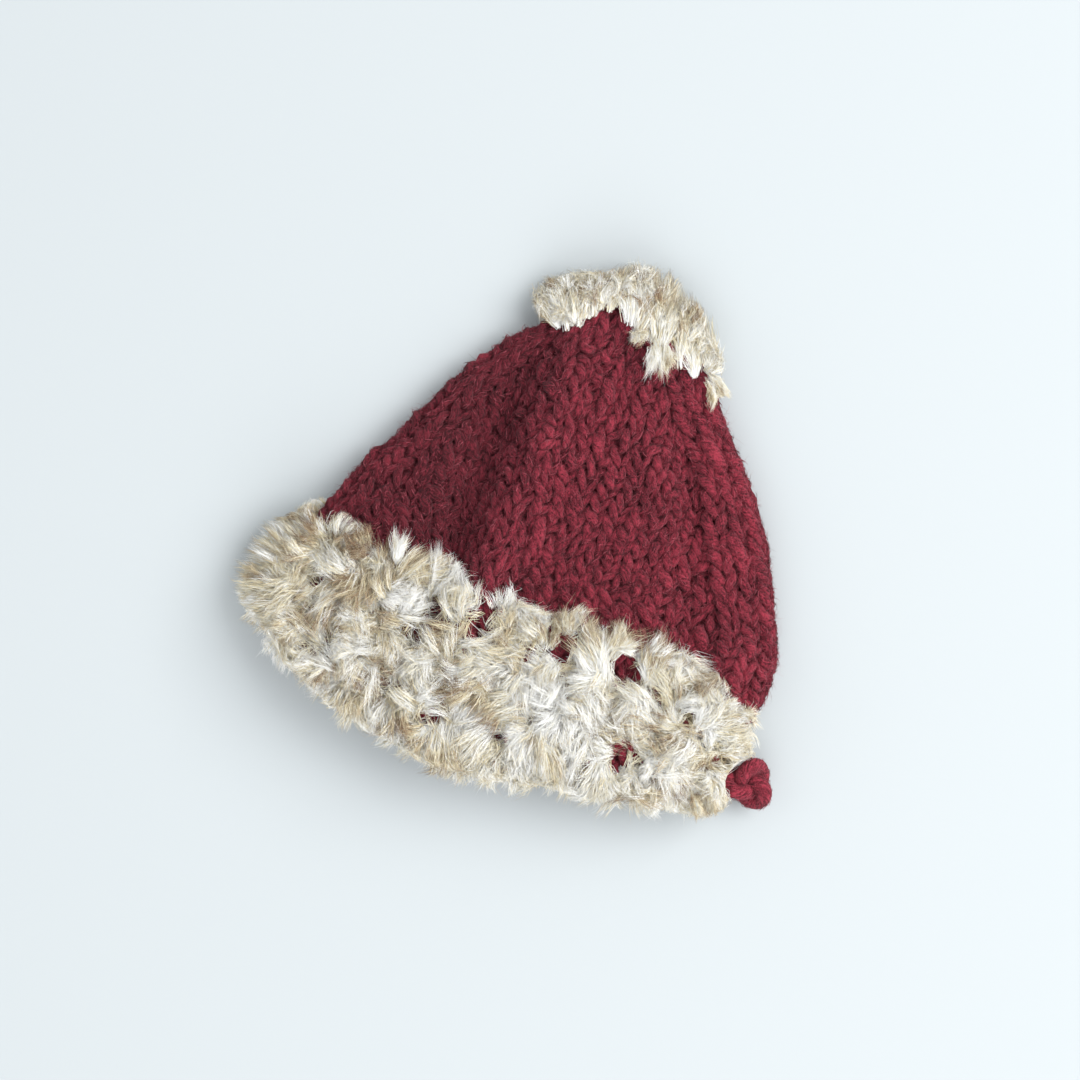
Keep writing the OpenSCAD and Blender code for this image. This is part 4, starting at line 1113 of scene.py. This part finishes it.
def stray(ob, count, seed, name, length, thick=0.1, loose=0.0, lift_by=0.16, body="hat", up=None, mix=(0.5, 0.4, 0.1)):
    """Fibres that leave the yarn, mostly lying along it."""
    r = np.random.default_rng(seed)
    got = []
    for me in (o.data for o in (ob if isinstance(ob, list) else [ob])):
        co, no, la = (np.zeros(len(me.vertices) * 3, np.float32) for _ in range(3))
        me.vertices.foreach_get("co", co)
        me.vertices.foreach_get("normal", no)
        me.attributes["lay"].data.foreach_get("vector", la)
        got.append((co.reshape(-1, 3) / MM, no.reshape(-1, 3), la.reshape(-1, 3)))
    co, no, la = (np.concatenate([g[i] for g in got]) for i in range(3))
    m = len(co)
    pick = np.arange(m) if up is None else np.where(up(co, no))[0]
    pick = r.choice(pick, count)
    p, n = co[pick], no[pick]
    along = la[pick] * np.where(r.random((count, 1)) < 0.5, 1, -1)
    tang = project(along + r.normal(size=p.shape) * (0.45 + 2.5 * loose), n)
    side = np.cross(n, tang)
    L = length[0] + (length[1] - length[0]) * r.random((count, 1)) ** 1.6
    h = lift_by * (0.3 + 1.6 * r.random((count, 1)) ** 2)
    steps = 3 if loose == 0 else 4
    a = p - n * 0.12 + side * r.normal(size=(count, 1)) * 0.5
    b = p + n * (0.2 + L * h) + tang * L * 0.5 + side * r.normal(size=(count, 1)) * 0.5
    c = p + n * (0.05 + L * h * (0.2 + 0.6 * r.random((count, 1)))) + tang * L + side * r.normal(size=(count, 1)) * (0.6 + 1.5 * loose)
    u = np.linspace(0, 1, steps)[None, :, None]
    path = (1 - u) ** 2 * a[:, None] + 2 * u * (1 - u) * b[:, None] + u * u * c[:, None]
    path[..., 2] = np.maximum(path[..., 2], 0.2)
    rad = thick * np.linspace(1.0, 0.7, steps - 1)[None] * (0.7 + 0.7 * r.random((count, 1)))
    tone = np.repeat(r.choice([0, 1, 2], (count, 1), p=mix), steps - 1, 1)
    fibre_pieces(name, path, rad, fuzz_mats, tone, None, body)


q = 1.0


def seen(c, n):
    return ((c[:, 1] > -60) | ((c[:, 0] > 105) & (c[:, 1] > -70))) & (n[:, 2] > 0.0)


stray(front, int(64000 * q), 71, "stray_wool_upper", (2.0, 5.0), thick=0.15, up=seen, mix=(0.44, 0.42, 0.14))
stray(front, int(9000 * q), 74, "stray_wool_long", (3.5, 9.0), thick=0.045, loose=0.6, lift_by=0.3, up=lambda c, n: (c[:, 1] > -50) & (n[:, 2] > -0.3), mix=(0.4, 0.3, 0.3))
stray(back, int(6000 * q), 72, "stray_wool_lower", (2.0, 5.0), thick=0.1, up=lambda c, n: (n[:, 2] < 0.3) & (c[:, 1] > -40))
stray(knot, int(1600 * q), 73, "stray_wool_knot", (1.5, 4.5), thick=0.1, body="knot", mix=(0.6, 0.2, 0.2))

# ---------------------------------------------------------------- table and light
me = bpy.data.meshes.new("table")
me.from_pydata([(-2.2, -2.2, 0), (2.2, -2.2, 0), (2.2, 2.2, 0), (-2.2, 2.2, 0)], [], [(0, 1, 2, 3)])
floor = bpy.data.objects.new("table", me)
scene.collection.objects.link(floor)
fm = plain("table_top", srgb(176, 182, 185), 0.7, 0.0, spec=0.2)
me.materials.append(fm)


def area(name, loc, target, size, power, colour=(1, 1, 1)):
    d = bpy.data.lights.new(name, "AREA")
    d.shape = "RECTANGLE"
    d.size, d.size_y = size
    d.energy = power
    d.color = colour
    o = bpy.data.objects.new(name, d)
    scene.collection.objects.link(o)
    o.location = loc
    v = np.array(target, float) - np.array(loc, float)
    from mathutils import Vector
    o.rotation_euler = Vector(v).to_track_quat("-Z", "Y").to_euler()
    return o


cr, sr = math.cos(math.radians(23)), math.sin(math.radians(23))


def cam_xy(a, b):
    """A point a to the right and b up in the picture, in the hat's frame."""
    return (a * cr - b * sr, a * sr + b * cr)


key = area("window", cam_xy(1.75, 0.45) + (2.05,), (0, 0, 0), (2.4, 2.0), 90, (1.0, 0.995, 0.985))
fill = area("wall", cam_xy(0.3, -2.0) + (1.7,), (0, 0, 0), (2.6, 2.0), 40, (1.0, 0.995, 0.985))
back = area("ceiling", cam_xy(-2.2, 0.5) + (1.8,), (0, 0, 0), (2.4, 2.0), 12, (0.98, 0.99, 1.0))
world = bpy.data.worlds.new("room")
scene.world = world
world.use_nodes = True
bg = world.node_tree.nodes["Background"]
bg.inputs[0].default_value = (0.975, 0.99, 1.0, 1)
bg.inputs[1].default_value = 0.8
scene.view_settings.view_transform = "Standard"
scene.view_settings.look = "None"
scene.view_settings.exposure = 0.0
